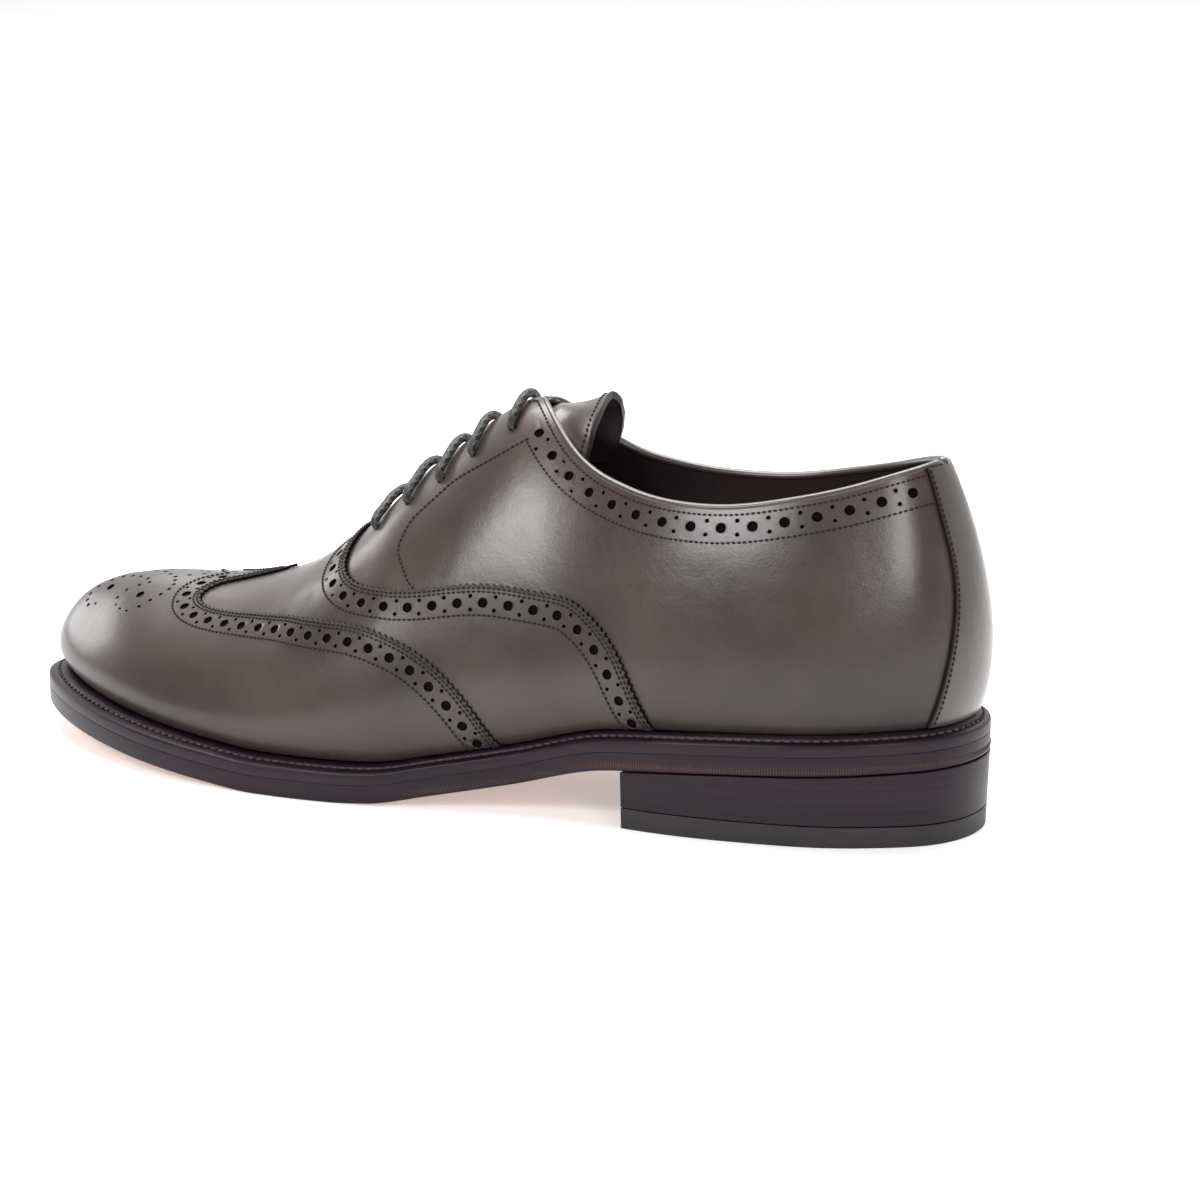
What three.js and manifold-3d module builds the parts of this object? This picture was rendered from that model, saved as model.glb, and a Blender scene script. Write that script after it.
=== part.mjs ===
// A left full-brogue oxford shoe, standing empty on its sole, in millimetres.
// The toe points along -X, the outer side faces -Y and +Z is up. The origin lies on the
// floor, under the middle of the shoe's box.
//
// Every piece is worked out from the last, the form that a shoe is pulled over. Ribs climb
// the last from the feather line, where upper and welt meet, to the crest along its top.
// A rib's place is its angle round the last: 0 at the back of the heel, PI at the toe tip.
// A point on a rib is its girth share: 0 at the feather line, 1 at the crest.

import * as THREE from 'three';
import { mergeVertices } from 'three/addons/utils/BufferGeometryUtils.js';
import Module from 'manifold-3d';

const wasm = await Module();
wasm.setup();

// Driving dimensions

const LAST_LENGTH = 295;
const BALL_WIDTH = 92;
const INSTEP_DEPTH = 97;
const HEEL_HEIGHT = 22;
const TOE_SPRING = 8.6;
const WELT_MARGIN = 6.6;
const OUTSOLE_THICKNESS = 5.5;
const WELT_THICKNESS = 3.3;
const WELT_RISE = 2;
const WELT_SHOULDER = 0.6;
const HEEL_LENGTH = 93.4;
const HEEL_TAPER = 0.7;
const TOP_PIECE_THICKNESS = 6;
const INSOLE_STEP = 1;
const WALL = 2.2;
const VAMP_THICKNESS = 1;
const CAP_THICKNESS = 1.7;
const STRIP_THICKNESS = 1;
const TONGUE_THICKNESS = 2.4;
const THROAT_GAP = 6;
const EYELET_DIAMETER = 3;
const EYELET_PAIRS = 5;
const LACE_DIAMETER = 2.8;
const SEAM_GAP = 0.3;
const LAYER_GAP = 0.55;
const TONGUE_SLACK = 0.6;

// Tables, each row at a station: the share of the last's length from heel to toe

// Half widths of the feather line, as shares of BALL_WIDTH
const PLAN = [
  { at: 0, outer: 0, inner: 0 },
  { at: 0.02, outer: 0.186, inner: 0.167 },
  { at: 0.06, outer: 0.28, inner: 0.274 },
  { at: 0.11, outer: 0.351, inner: 0.328 },
  { at: 0.18, outer: 0.395, inner: 0.341 },
  { at: 0.27, outer: 0.412, inner: 0.326 },
  { at: 0.4, outer: 0.391, inner: 0.304 },
  { at: 0.5, outer: 0.446, inner: 0.348 },
  { at: 0.6, outer: 0.508, inner: 0.429 },
  { at: 0.7, outer: 0.516, inner: 0.491 },
  { at: 0.8, outer: 0.471, inner: 0.473 },
  { at: 0.9, outer: 0.345, inner: 0.353 },
  { at: 0.96, outer: 0.208, inner: 0.233 },
  { at: 0.99, outer: 0.098, inner: 0.12 },
  { at: 1, outer: 0, inner: 0 },
];

// How far the sole's edge stands out from the feather line, as shares of WELT_MARGIN
const EDGE = [
  { at: 0, outer: 0.64, inner: 0.64 },
  { at: 0.15, outer: 0.64, inner: 0.61 },
  { at: 0.3, outer: 0.7, inner: 0.52 },
  { at: 0.42, outer: 0.73, inner: 0.45 },
  { at: 0.55, outer: 0.91, inner: 0.67 },
  { at: 0.7, outer: 0.97, inner: 0.94 },
  { at: 0.85, outer: 1, inner: 1 },
  { at: 1, outer: 1, inner: 1 },
];

// Height of the outsole's underside, as shares of HEEL_HEIGHT and of TOE_SPRING
const UNDERSIDE = [
  { at: 0, heel: 1, toe: 0 },
  { at: 0.12, heel: 0.923, toe: 0 },
  { at: 0.22, heel: 0.855, toe: 0 },
  { at: 0.32, heel: 0.736, toe: 0 },
  { at: 0.42, heel: 0.386, toe: 0 },
  { at: 0.5, heel: 0.164, toe: 0 },
  { at: 0.56, heel: 0.018, toe: 0 },
  { at: 0.6, heel: 0, toe: 0 },
  { at: 0.68, heel: 0, toe: 0 },
  { at: 0.74, heel: 0, toe: 0.151 },
  { at: 0.82, heel: 0, toe: 0.395 },
  { at: 0.91, heel: 0, toe: 0.709 },
  { at: 1, heel: 0, toe: 1 },
];

// The crest: its swing to the inner side, as a share of BALL_WIDTH, and its height over
// the feather line, as a share of INSTEP_DEPTH
const CREST = [
  { at: 0, swing: 0.011, depth: 0.975 },
  { at: 0.12, swing: 0.016, depth: 0.982 },
  { at: 0.25, swing: 0.022, depth: 0.953 },
  { at: 0.36, swing: 0.027, depth: 0.928 },
  { at: 0.46, swing: 0.033, depth: 0.999 },
  { at: 0.52, swing: 0.033, depth: 0.923 },
  { at: 0.58, swing: 0.033, depth: 0.806 },
  { at: 0.64, swing: 0.033, depth: 0.633 },
  { at: 0.7, swing: 0.027, depth: 0.495 },
  { at: 0.76, swing: 0.022, depth: 0.414 },
  { at: 0.83, swing: 0.011, depth: 0.367 },
  { at: 0.9, swing: 0.005, depth: 0.338 },
  { at: 0.95, swing: 0.003, depth: 0.302 },
  { at: 1, swing: 0, depth: 0.309 },
];

// The ribs: how far the top leans along the shoe, as a share of LAST_LENGTH, how far the
// side swells, as a share of BALL_WIDTH, at which share of the height, and two powers that
// square the shoulder off
const RIBS = [
  { at: 0, lean: 0.132, swell: 0.049, swellAt: 0.36, across: 0.87, up: 1 },
  { at: 0.1, lean: 0.138, swell: 0.044, swellAt: 0.22, across: 1, up: 1 },
  { at: 0.25, lean: 0.068, swell: 0.05, swellAt: 0.22, across: 1.05, up: 1 },
  { at: 0.4, lean: 0, swell: 0.061, swellAt: 0.25, across: 1.15, up: 1.05 },
  { at: 0.55, lean: 0, swell: 0.05, swellAt: 0.28, across: 1.15, up: 1.05 },
  { at: 0.7, lean: 0, swell: 0.039, swellAt: 0.3, across: 1, up: 1 },
  { at: 0.85, lean: 0.027, swell: 0.035, swellAt: 0.32, across: 1, up: 0.95 },
  { at: 1, lean: 0.077, swell: 0.045, swellAt: 0.34, across: 0.98, up: 0.84 },
];

// How far the lining's wall drops to make room for the pieces laid over it, as a share of
// the vamp's thickness with its gap
const LAYERS = [
  { at: 0, drop: 0 },
  { at: 0.25, drop: 0 },
  { at: 0.55, drop: 0.9 },
  { at: 0.7, drop: 1.1 },
  { at: 0.85, drop: 1.5 },
  { at: 1, drop: 1.6 },
];

// Girth share of the collar's edge
const COLLAR = [
  { at: 0, up: 0.539 },
  { at: 0.02, up: 0.522 },
  { at: 0.06, up: 0.491 },
  { at: 0.12, up: 0.463 },
  { at: 0.19, up: 0.451 },
  { at: 0.26, up: 0.484 },
  { at: 0.32, up: 0.546 },
  { at: 0.37, up: 0.62 },
  { at: 0.41, up: 0.72 },
  { at: 0.43, up: 0.8 },
  { at: 0.45, up: 0.91 },
  { at: 0.465, up: 1.02 },
];

// Seams, each row at a girth share, giving the station where the piece's edge runs
const WING_SEAM = [
  { up: 0, at: 0.434 },
  { up: 0.1, at: 0.461 },
  { up: 0.2, at: 0.5 },
  { up: 0.29, at: 0.546 },
  { up: 0.39, at: 0.612 },
  { up: 0.47, at: 0.655 },
  { up: 0.56, at: 0.703 },
  { up: 0.63, at: 0.772 },
  { up: 0.68, at: 0.808 },
  { up: 0.74, at: 0.822 },
  { up: 0.82, at: 0.822 },
  { up: 0.88, at: 0.811 },
  { up: 0.94, at: 0.78 },
  { up: 1, at: 0.735 },
];
const VAMP_SEAM = [
  { up: 0, at: 0.272 },
  { up: 0.1, at: 0.289 },
  { up: 0.2, at: 0.315 },
  { up: 0.27, at: 0.348 },
  { up: 0.31, at: 0.388 },
  { up: 0.33, at: 0.432 },
  { up: 0.355, at: 0.485 },
  { up: 0.39, at: 0.533 },
  { up: 0.43, at: 0.569 },
  { up: 0.49, at: 0.6 },
  { up: 0.57, at: 0.62 },
  { up: 0.7, at: 0.633 },
  { up: 0.85, at: 0.638 },
  { up: 1, at: 0.64 },
];
// Half width of the back strip, as a share of BALL_WIDTH
const STRIP_SEAM = [
  { up: 0, half: 0.205 },
  { up: 0.13, half: 0.17 },
  { up: 0.28, half: 0.132 },
  { up: 0.4, half: 0.13 },
  { up: 0.51, half: 0.125 },
];
const STRIP_TOP = 0.5;

// The tongue's edges, and where it starts and ends
const TONGUE_EDGE = [
  { at: 0.37, up: 0.7 },
  { at: 0.385, up: 0.62 },
  { at: 0.42, up: 0.6 },
  { at: 0.5, up: 0.64 },
  { at: 0.58, up: 0.7 },
  { at: 0.66, up: 0.78 },
];
const TONGUE_TOP = 0.37;
const TONGUE_ROOT = 0.66;

// The throat between the facings, its rounded top corner, and the eyelet rows
const THROAT_STATION = 0.64;
const THROAT_CORNER = [0.435, 0.462];
const THROAT_NOTCH = 0.012;
const EYELETS = [
  { at: 0.47, up: 0.765 },
  { at: 0.54, up: 0.725 },
  { at: 0.608, up: 0.725 },
];

// The vamp's girth along a rib, which only sets how its edge keeps clear of the cap's
const VAMP_GIRTH = 68;

// How finely the forms are stepped and the searches run
const SOLE_STEPS = 40;
const HEEL_STEPS = 18;
const COLLAR_STEPS = 17;
const THROAT_STEPS = 7;
const TOE_STEPS = 18;
const GIRTH_STEPS = 11;
const WING_STEPS = 18;
const VAMP_STEPS = 9;
const STRIP_ROWS = 9;
const STRIP_STEPS = 4;
const TONGUE_STEPS = 11;
const TONGUE_ROWS = 6;
const DRILL_SIDES = 8;
const LACE_FACETS = 4;
const LACE_STEPS = 8;
const HALVINGS = 30;
const STRIP_SEARCH = 0.002;
const BREAST_SEARCH = 0.001;

// The girth shares of the vamp's lower rows, closer where its seam bends
const VAMP_ROWS = [0, 0.04, 0.08, 0.12, 0.16, 0.2, 0.24, 0.275, 0.305, 0.33, 0.355, 0.39, 0.42];

// The stations of the tongue's first rows, close together round its corners
const TONGUE_HEAD = [TONGUE_TOP, 0.375, 0.385];
const TONGUE_BODY = 0.4;

const SIDES = [{ name: 'outer', sign: -1 }, { name: 'inner', sign: 1 }];

// Curves through the tables

const clamp = (value, low, high) => Math.min(Math.max(value, low), high);
const stationOf = (angle) => (1 - Math.cos(angle)) / 2;
const angleOf = (station) => Math.acos(clamp(1 - 2 * station, -1, 1));
const xOf = (station) => LAST_LENGTH * (0.5 - station);
const stationAt = (x) => clamp(0.5 - x / LAST_LENGTH, 0, 1);

// A curve from slopes at its knots: cubic pieces that meet smoothly
function hermite(xs, ys, slopes) {
  return (value) => {
    const x = clamp(value, xs[0], xs.at(-1));
    const right = Math.max(1, xs.findIndex((knot) => knot >= x));
    const left = right - 1;
    const span = xs[right] - xs[left];
    const t = (x - xs[left]) / span;
    const rise = 3 * t * t - 2 * t * t * t;
    const leave = t * (1 - t) * (1 - t) * span * slopes[left];
    const arrive = t * t * (1 - t) * span * slopes[right];
    return ys[left] * (1 - rise) + ys[right] * rise + leave - arrive;
  };
}

// The smoothest curve through the points: free ends are straight, flat ends are level
function smoothCurve(xs, ys, flatEnds) {
  const count = xs.length;
  const last = count - 1;
  const diagonal = new Array(count).fill(2);
  const above = new Array(count).fill(0);
  const below = new Array(count).fill(0);
  const goal = new Array(count).fill(0);
  for (let i = 1; i < last; i += 1) {
    const before = xs[i] - xs[i - 1];
    const after = xs[i + 1] - xs[i];
    below[i] = after / (before + after);
    above[i] = before / (before + after);
    const rising = ((ys[i] - ys[i - 1]) / before) * below[i];
    goal[i] = 3 * (rising + ((ys[i + 1] - ys[i]) / after) * above[i]);
  }
  above[0] = flatEnds ? 0 : 1;
  below[last] = flatEnds ? 0 : 1;
  if (!flatEnds) {
    goal[0] = (3 * (ys[1] - ys[0])) / (xs[1] - xs[0]);
    goal[last] = (3 * (ys[last] - ys[last - 1])) / (xs[last] - xs[last - 1]);
  }
  for (let i = 1; i < count; i += 1) {
    const factor = below[i] / diagonal[i - 1];
    diagonal[i] -= factor * above[i - 1];
    goal[i] -= factor * goal[i - 1];
  }
  const slopes = new Array(count).fill(0);
  for (let i = last; i >= 0; i -= 1) {
    const next = i === last ? 0 : above[i] * slopes[i + 1];
    slopes[i] = (goal[i] - next) / diagonal[i];
  }
  return hermite(xs, ys, slopes);
}

// A curve that never overshoots its points
function steadyCurve(xs, ys) {
  const rises = xs.slice(1).map((x, i) => (ys[i + 1] - ys[i]) / (x - xs[i]));
  const slopes = xs.map((x, i) => {
    const before = rises[Math.max(i - 1, 0)];
    const after = rises[Math.min(i, rises.length - 1)];
    return before * after > 0 ? (2 * before * after) / (before + after) : 0;
  });
  return hermite(xs, ys, slopes);
}

// Columns of a table as curves over the rib angle, or over the plain share
function roundCurve(rows, column, scale, flatEnds = true) {
  const values = rows.map((row) => row[column] * scale);
  return smoothCurve(rows.map((row) => angleOf(row.at)), values, flatEnds);
}
function shareCurve(rows, key, column, scale = 1) {
  return smoothCurve(rows.map((row) => row[key]), rows.map((row) => row[column] * scale), false);
}

const halfWidth = {
  outer: roundCurve(PLAN, 'outer', BALL_WIDTH, false),
  inner: roundCurve(PLAN, 'inner', BALL_WIDTH, false),
};
const margin = {
  outer: roundCurve(EDGE, 'outer', WELT_MARGIN),
  inner: roundCurve(EDGE, 'inner', WELT_MARGIN),
};
const undersideHeights = UNDERSIDE.map((row) => row.heel * HEEL_HEIGHT + row.toe * TOE_SPRING);
const undersideCurve = steadyCurve(UNDERSIDE.map((row) => row.at), undersideHeights);
const underside = (x) => undersideCurve(stationAt(x));
const crestSwing = shareCurve(CREST, 'at', 'swing', BALL_WIDTH);
const crestDepth = shareCurve(CREST, 'at', 'depth', INSTEP_DEPTH);
const ribLean = roundCurve(RIBS, 'lean', LAST_LENGTH);
const ribSwell = roundCurve(RIBS, 'swell', BALL_WIDTH);
const ribSwellAt = roundCurve(RIBS, 'swellAt', 1);
const ribAcross = roundCurve(RIBS, 'across', 1);
const ribUp = roundCurve(RIBS, 'up', 1);
const layerDrop = roundCurve(LAYERS, 'drop', VAMP_THICKNESS + LAYER_GAP);
const collarUp = shareCurve(COLLAR, 'at', 'up');
const wingStation = shareCurve(WING_SEAM, 'up', 'at');
const vampStation = shareCurve(VAMP_SEAM, 'up', 'at');
const stripHalf = shareCurve(STRIP_SEAM, 'up', 'half', BALL_WIDTH);
const tongueUp = shareCurve(TONGUE_EDGE, 'at', 'up');
const eyeletUp = shareCurve(EYELETS, 'at', 'up');

// Heights that ride on the outsole's underside

const outsoleTop = (x) => underside(x) + OUTSOLE_THICKNESS;
const weltBottom = (x) => outsoleTop(x) + SEAM_GAP;
const weltRim = (x) => weltBottom(x) + WELT_THICKNESS;
const weltTop = (x) => weltRim(x) + WELT_RISE;
const featherHeight = (x) => weltTop(x) + SEAM_GAP;
const insoleTop = (x) => weltTop(x) + INSOLE_STEP;
const crestHeight = (x) => featherHeight(x) + crestDepth(stationAt(x));

// The last

// A point of the feather line, with the direction that points away from the shoe
function feather(angle, side) {
  const step = 0.001;
  const place = (a) => [xOf(stationOf(a)), side.sign * halfWidth[side.name](a)];
  const [x, y] = place(angle);
  if (angle < step || angle > Math.PI - step) {
    return { x, y, nx: angle < step ? 1 : -1, ny: 0 };
  }
  const [x0, y0] = place(angle - step);
  const [x1, y1] = place(angle + step);
  const length = Math.hypot(x1 - x0, y1 - y0);
  return { x, y, nx: (side.sign * (y1 - y0)) / length, ny: (-side.sign * (x1 - x0)) / length };
}

function lastPoint(angle, girth, side) {
  const foot = feather(angle, side);
  const direction = stationOf(angle) < 0.5 ? -1 : 1;
  const topX = foot.x + direction * ribLean(angle);
  const topY = crestSwing(stationAt(topX));
  const turn = (girth * Math.PI) / 2;
  const across = 1 - Math.max(Math.cos(turn), 0) ** ribAcross(angle);
  const up = Math.sin(turn) ** ribUp(angle);
  const ratio = up / ribSwellAt(angle);
  const swell = ribSwell(angle) * ratio * Math.exp(1 - ratio) * (1 - up * up);
  const x = foot.x + (topX - foot.x) * across + foot.nx * swell;
  const y = foot.y + (topY - foot.y) * across + foot.ny * swell;
  const z = featherHeight(foot.x) * (1 - up) + crestHeight(x) * up;
  return new THREE.Vector3(x, y, z);
}

function ribNormal(angle, girth, side) {
  const step = 0.004;
  const before = lastPoint(Math.max(angle - step, 0), girth, side);
  const along = lastPoint(Math.min(angle + step, Math.PI), girth, side).sub(before);
  const under = lastPoint(angle, Math.max(girth - step, 0), side);
  const upward = lastPoint(angle, Math.min(girth + step, 1), side).sub(under);
  return along.cross(upward).multiplyScalar(side.sign).normalize();
}

function lastNormal(angle, girth, side) {
  if (girth <= 0) {
    const foot = feather(angle, side);
    return new THREE.Vector3(foot.nx, foot.ny, 0);
  }
  const top = Math.min(girth, 0.998);
  const atEnd = angle <= 0 || angle >= Math.PI;
  if (girth < 1 && !atEnd) {
    return ribNormal(angle, top, side);
  }
  // The two sides share this point, so they share its direction
  const normal = ribNormal(angle, top, SIDES[0]).add(ribNormal(angle, top, SIDES[1]));
  if (atEnd) {
    normal.y = 0;
  }
  return normal.normalize();
}

// A point over the upper's outer face, or under it where the lift is negative
function onUpper(angle, girth, side, lift) {
  const normal = lastNormal(angle, girth, side);
  return lastPoint(angle, girth, side).addScaledVector(normal, lift - layerDrop(angle));
}

// The girth share at which a rib comes within half the throat's gap of the crest
function throatUp(angle, side) {
  let low = 0.5;
  let high = 1;
  for (let i = 0; i < HALVINGS; i += 1) {
    const middle = (low + high) / 2;
    const away = Math.abs(lastPoint(angle, middle, side).y - lastPoint(angle, 1, side).y);
    if (away > THROAT_GAP / 2) {
      low = middle;
    } else {
      high = middle;
    }
  }
  return low;
}

// The girth share of the upper's top edge: the collar, then the throat, then the crest
function topUp(angle, side) {
  const station = stationOf(angle);
  if (station >= THROAT_STATION) {
    return 1;
  }
  const throat = throatUp(angle, side);
  return station > COLLAR.at(-1).at ? throat : Math.min(collarUp(station), throat);
}

// Meshes

// A closed geometry from loose triangles, facing out
function closedGeometry(triangles) {
  const corners = triangles.flat().flatMap((corner) => [corner.x, corner.y, corner.z]);
  const loose = new THREE.BufferGeometry();
  loose.setAttribute('position', new THREE.BufferAttribute(new Float32Array(corners), 3));
  const merged = mergeVertices(loose, 0.002);
  const index = Array.from(merged.index.array);
  const kept = [];
  for (let i = 0; i < index.length; i += 3) {
    const [a, b, c] = index.slice(i, i + 3);
    if (a !== b && b !== c && c !== a) {
      kept.push(a, b, c);
    }
  }
  const points = merged.getAttribute('position');
  const [a, b, c] = [new THREE.Vector3(), new THREE.Vector3(), new THREE.Vector3()];
  let volume = 0;
  for (let i = 0; i < kept.length; i += 3) {
    a.fromBufferAttribute(points, kept[i]);
    b.fromBufferAttribute(points, kept[i + 1]);
    c.fromBufferAttribute(points, kept[i + 2]);
    volume += a.dot(b.cross(c));
  }
  merged.setIndex(volume < 0 ? kept.reverse() : kept);
  merged.computeVertexNormals();
  return merged;
}

const quad = (a, b, c, d) => [[a, b, c], [a, c, d]];

// A sheet with a thickness, from lattices of outer and inner points that share borders
function sheetGeometry(patches) {
  const triangles = [];
  const key = (point) => point.toArray().map((value) => Math.round(value * 500)).join(' ');
  const borders = new Map();
  const addBorder = (from, to) => {
    const back = `${key(to.outer)}|${key(from.outer)}`;
    if (borders.has(back)) {
      borders.delete(back);
    } else {
      borders.set(`${key(from.outer)}|${key(to.outer)}`, [from, to]);
    }
  };
  for (const { rows, flip } of patches) {
    for (let i = 0; i + 1 < rows.length; i += 1) {
      for (let j = 0; j + 1 < rows[i].length; j += 1) {
        const ring = [rows[i][j], rows[i + 1][j], rows[i + 1][j + 1], rows[i][j + 1]];
        const loop = flip ? ring.reverse() : ring;
        for (const [a, b, c] of quad(...loop)) {
          triangles.push([a.outer, b.outer, c.outer], [c.inner, b.inner, a.inner]);
        }
        for (let k = 0; k < loop.length; k += 1) {
          const next = loop[(k + 1) % loop.length];
          if (key(loop[k].outer) !== key(next.outer)) {
            addBorder(loop[k], next);
          }
        }
      }
    }
  }
  for (const [from, to] of borders.values()) {
    triangles.push(...quad(to.outer, from.outer, from.inner, to.inner));
  }
  return closedGeometry(triangles);
}

// A solid drawn through sections, each a loop of as many points; a ring closes on itself
function loftGeometry(sections, ring = false) {
  const triangles = [];
  const count = sections.length;
  const size = sections[0].length;
  for (let i = 0; i < (ring ? count : count - 1); i += 1) {
    const here = sections[i];
    const next = sections[(i + 1) % count];
    for (let k = 0; k < size; k += 1) {
      const m = (k + 1) % size;
      triangles.push(...quad(here[k], next[k], next[m], here[m]));
    }
  }
  if (!ring) {
    for (let k = 1; k + 1 < size; k += 1) {
      triangles.push([sections[0][0], sections[0][k], sections[0][k + 1]]);
      const end = sections[count - 1];
      triangles.push([end[0], end[k + 1], end[k]]);
    }
  }
  return closedGeometry(triangles);
}

function solidOf(geometry) {
  const bare = new THREE.BufferGeometry();
  bare.setAttribute('position', geometry.getAttribute('position'));
  bare.setIndex(geometry.index);
  const merged = mergeVertices(bare, 0.0001);
  const mesh = new wasm.Mesh({
    numProp: 3,
    vertProperties: new Float32Array(merged.getAttribute('position').array),
    triVerts: new Uint32Array(merged.index.array),
  });
  return new wasm.Manifold(mesh);
}

function geometryOf(solid) {
  const { vertProperties, triVerts } = solid.getMesh();
  const geometry = new THREE.BufferGeometry();
  geometry.setAttribute('position', new THREE.BufferAttribute(vertProperties, 3));
  geometry.setIndex(new THREE.BufferAttribute(triVerts, 1));
  geometry.computeVertexNormals();
  return geometry;
}

// Pieces of the upper

const steps = (count, from, to) =>
  Array.from({ length: count + 1 }, (_, i) => from + ((to - from) * i) / count);

// One lattice for each side, rows along the shoe and columns up the girth
function sheetPatches(angles, girthsAt, outerLift, innerLift) {
  return SIDES.map((side) => ({
    flip: side.sign < 0,
    rows: angles.map((angle, row) =>
      girthsAt(angle, row, side).map(([turn, girth]) => ({
        outer: onUpper(turn, girth, side, outerLift),
        inner: onUpper(turn, girth, side, innerLift),
      })),
    ),
  }));
}

const throatAngle = angleOf(THROAT_STATION);

function upperGeometry() {
  const [cornerStart, cornerEnd] = THROAT_CORNER.map(angleOf);
  const angles = [
    ...steps(COLLAR_STEPS, 0, cornerStart),
    (cornerStart + cornerEnd) / 2,
    ...steps(THROAT_STEPS, cornerEnd, throatAngle - THROAT_NOTCH),
    ...steps(TOE_STEPS, throatAngle, Math.PI),
  ];
  const girths = (angle, row, side) =>
    steps(GIRTH_STEPS, 0, topUp(angle, side)).map((girth) => [angle, girth]);
  let shell = solidOf(sheetGeometry(sheetPatches(angles, girths, 0, -WALL)));
  for (const side of SIDES) {
    for (const eyelet of eyeletPlaces(side)) {
      const drill = new THREE.CylinderGeometry(1, 1, 4 * WALL, DRILL_SIDES);
      drill.scale(EYELET_DIAMETER / 2, 1, EYELET_DIAMETER / 2);
      const turn = new THREE.Quaternion().setFromUnitVectors(
        new THREE.Vector3(0, 1, 0),
        eyelet.normal,
      );
      drill.applyQuaternion(turn).translate(...eyelet.point.toArray());
      shell = shell.subtract(solidOf(drill));
    }
  }
  return geometryOf(shell);
}

function eyeletPlaces(side) {
  const stations = steps(EYELET_PAIRS - 1, EYELETS[0].at, EYELETS.at(-1).at);
  return stations.map((station) => {
    const angle = angleOf(station);
    const girth = eyeletUp(station);
    return {
      angle,
      girth,
      point: onUpper(angle, girth, side, 0),
      normal: lastNormal(angle, girth, side),
    };
  });
}

// The cap and the vamp: girth shares up the rows, the seams at the ends
function overlayGeometry(girthList, startAt, endAt, columnCount, thickness) {
  const shares = steps(columnCount, 0, 1);
  const patches = SIDES.map((side) => ({
    flip: side.sign < 0,
    rows: shares.map((share) =>
      girthList.map((girth) => {
        const start = startAt(girth);
        const angle = start + (endAt(girth) - start) * share;
        return {
          outer: onUpper(angle, girth, side, LAYER_GAP + thickness),
          inner: onUpper(angle, girth, side, LAYER_GAP),
        };
      }),
    ),
  }));
  return sheetGeometry(patches);
}

const wingGirths = steps(GIRTH_STEPS, 0, 1);
const wingAngles = wingGirths.map((girth) => angleOf(wingStation(girth)));

// The cap's seam as its mesh has it: straight from row to row
function wingAngle(girth) {
  const row = Math.min(Math.floor(girth * GIRTH_STEPS), GIRTH_STEPS - 1);
  const share = girth * GIRTH_STEPS - row;
  return wingAngles[row] * (1 - share) + wingAngles[row + 1] * share;
}

// How far the vamp stops short of the cap's seam, so that both edges stay apart across it
function seamTurn(girth) {
  const step = 0.02;
  const before = wingAngle(Math.max(girth - step, 0));
  const after = wingAngle(Math.min(girth + step, 1));
  const along = LAST_LENGTH * (stationOf(after) - stationOf(before));
  const gap = LAYER_GAP * Math.hypot(1, along / (2 * step * VAMP_GIRTH));
  return (2 * gap) / (LAST_LENGTH * Math.sin(wingAngle(girth)));
}

function wingCapGeometry() {
  return overlayGeometry(wingGirths, wingAngle, () => Math.PI, WING_STEPS, CAP_THICKNESS);
}

function vampGeometry() {
  const girths = [...VAMP_ROWS, ...wingGirths.filter((girth) => girth > VAMP_ROWS.at(-1))];
  const start = (girth) => angleOf(vampStation(girth));
  const end = (girth) => wingAngle(girth) - seamTurn(girth);
  return overlayGeometry(girths, start, end, VAMP_STEPS, VAMP_THICKNESS);
}

// The strip down the back of the heel, worked out from its half width round the last
function backStripGeometry() {
  const angleAtHalf = (half, side) => {
    let angle = 0;
    while (halfWidth[side.name](angle) < half) {
      angle += STRIP_SEARCH;
    }
    return angle;
  };
  const girths = steps(STRIP_ROWS, 0, STRIP_TOP);
  const patches = SIDES.map((side) => ({
    flip: side.sign < 0,
    rows: steps(STRIP_STEPS, 0, 1).map((share) =>
      girths.map((girth) => {
        const angle = angleAtHalf(stripHalf(girth), side) * share;
        return {
          outer: onUpper(angle, girth, side, LAYER_GAP + STRIP_THICKNESS),
          inner: onUpper(angle, girth, side, LAYER_GAP),
        };
      }),
    ),
  }));
  return sheetGeometry(patches);
}

function tongueGeometry() {
  const stations = [...TONGUE_HEAD, ...steps(TONGUE_STEPS, TONGUE_BODY, TONGUE_ROOT)];
  const angles = stations.map(angleOf);
  const girths = (angle, row) =>
    steps(TONGUE_ROWS, tongueUp(stations[row]), 1).map((girth) => [angle, girth]);
  const outer = -WALL - TONGUE_SLACK;
  return sheetGeometry(sheetPatches(angles, girths, outer, outer - TONGUE_THICKNESS));
}

// One bar of the lace, lying on the facings from eyelet to eyelet
function laceBarGeometry(pair) {
  const lift = LACE_DIAMETER / 2 + SEAM_GAP;
  const climb = (side) => {
    const { angle, girth } = eyeletPlaces(side)[pair];
    return steps(2, girth, topUp(angle, side)).map((up) => onUpper(angle, up, side, lift));
  };
  const points = [...climb(SIDES[0]), ...climb(SIDES[1]).reverse()];
  const section = new THREE.Shape();
  section.absarc(0, 0, LACE_DIAMETER / 2, 0, 2 * Math.PI);
  return new THREE.ExtrudeGeometry(section, {
    extrudePath: new THREE.CatmullRomCurve3(points),
    curveSegments: LACE_FACETS,
    steps: LACE_STEPS,
  });
}

// Pieces of the sole

// The corners of a slab between the outer and the inner edge, at one rib angle
function slabSection(anglesBySide, low, high) {
  const edge = (side, band) => {
    const foot = feather(anglesBySide[side.name], side);
    const out = band.out(anglesBySide[side.name], side);
    const x = foot.x + foot.nx * out;
    return new THREE.Vector3(x, foot.y + foot.ny * out, band.height(x));
  };
  const [outer, inner] = SIDES;
  return [edge(outer, low), edge(outer, high), edge(inner, high), edge(inner, low)];
}

const soleOut = (angle, side) => margin[side.name](angle);
const innerWallOut = (angle) => -WALL - layerDrop(angle);

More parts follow.
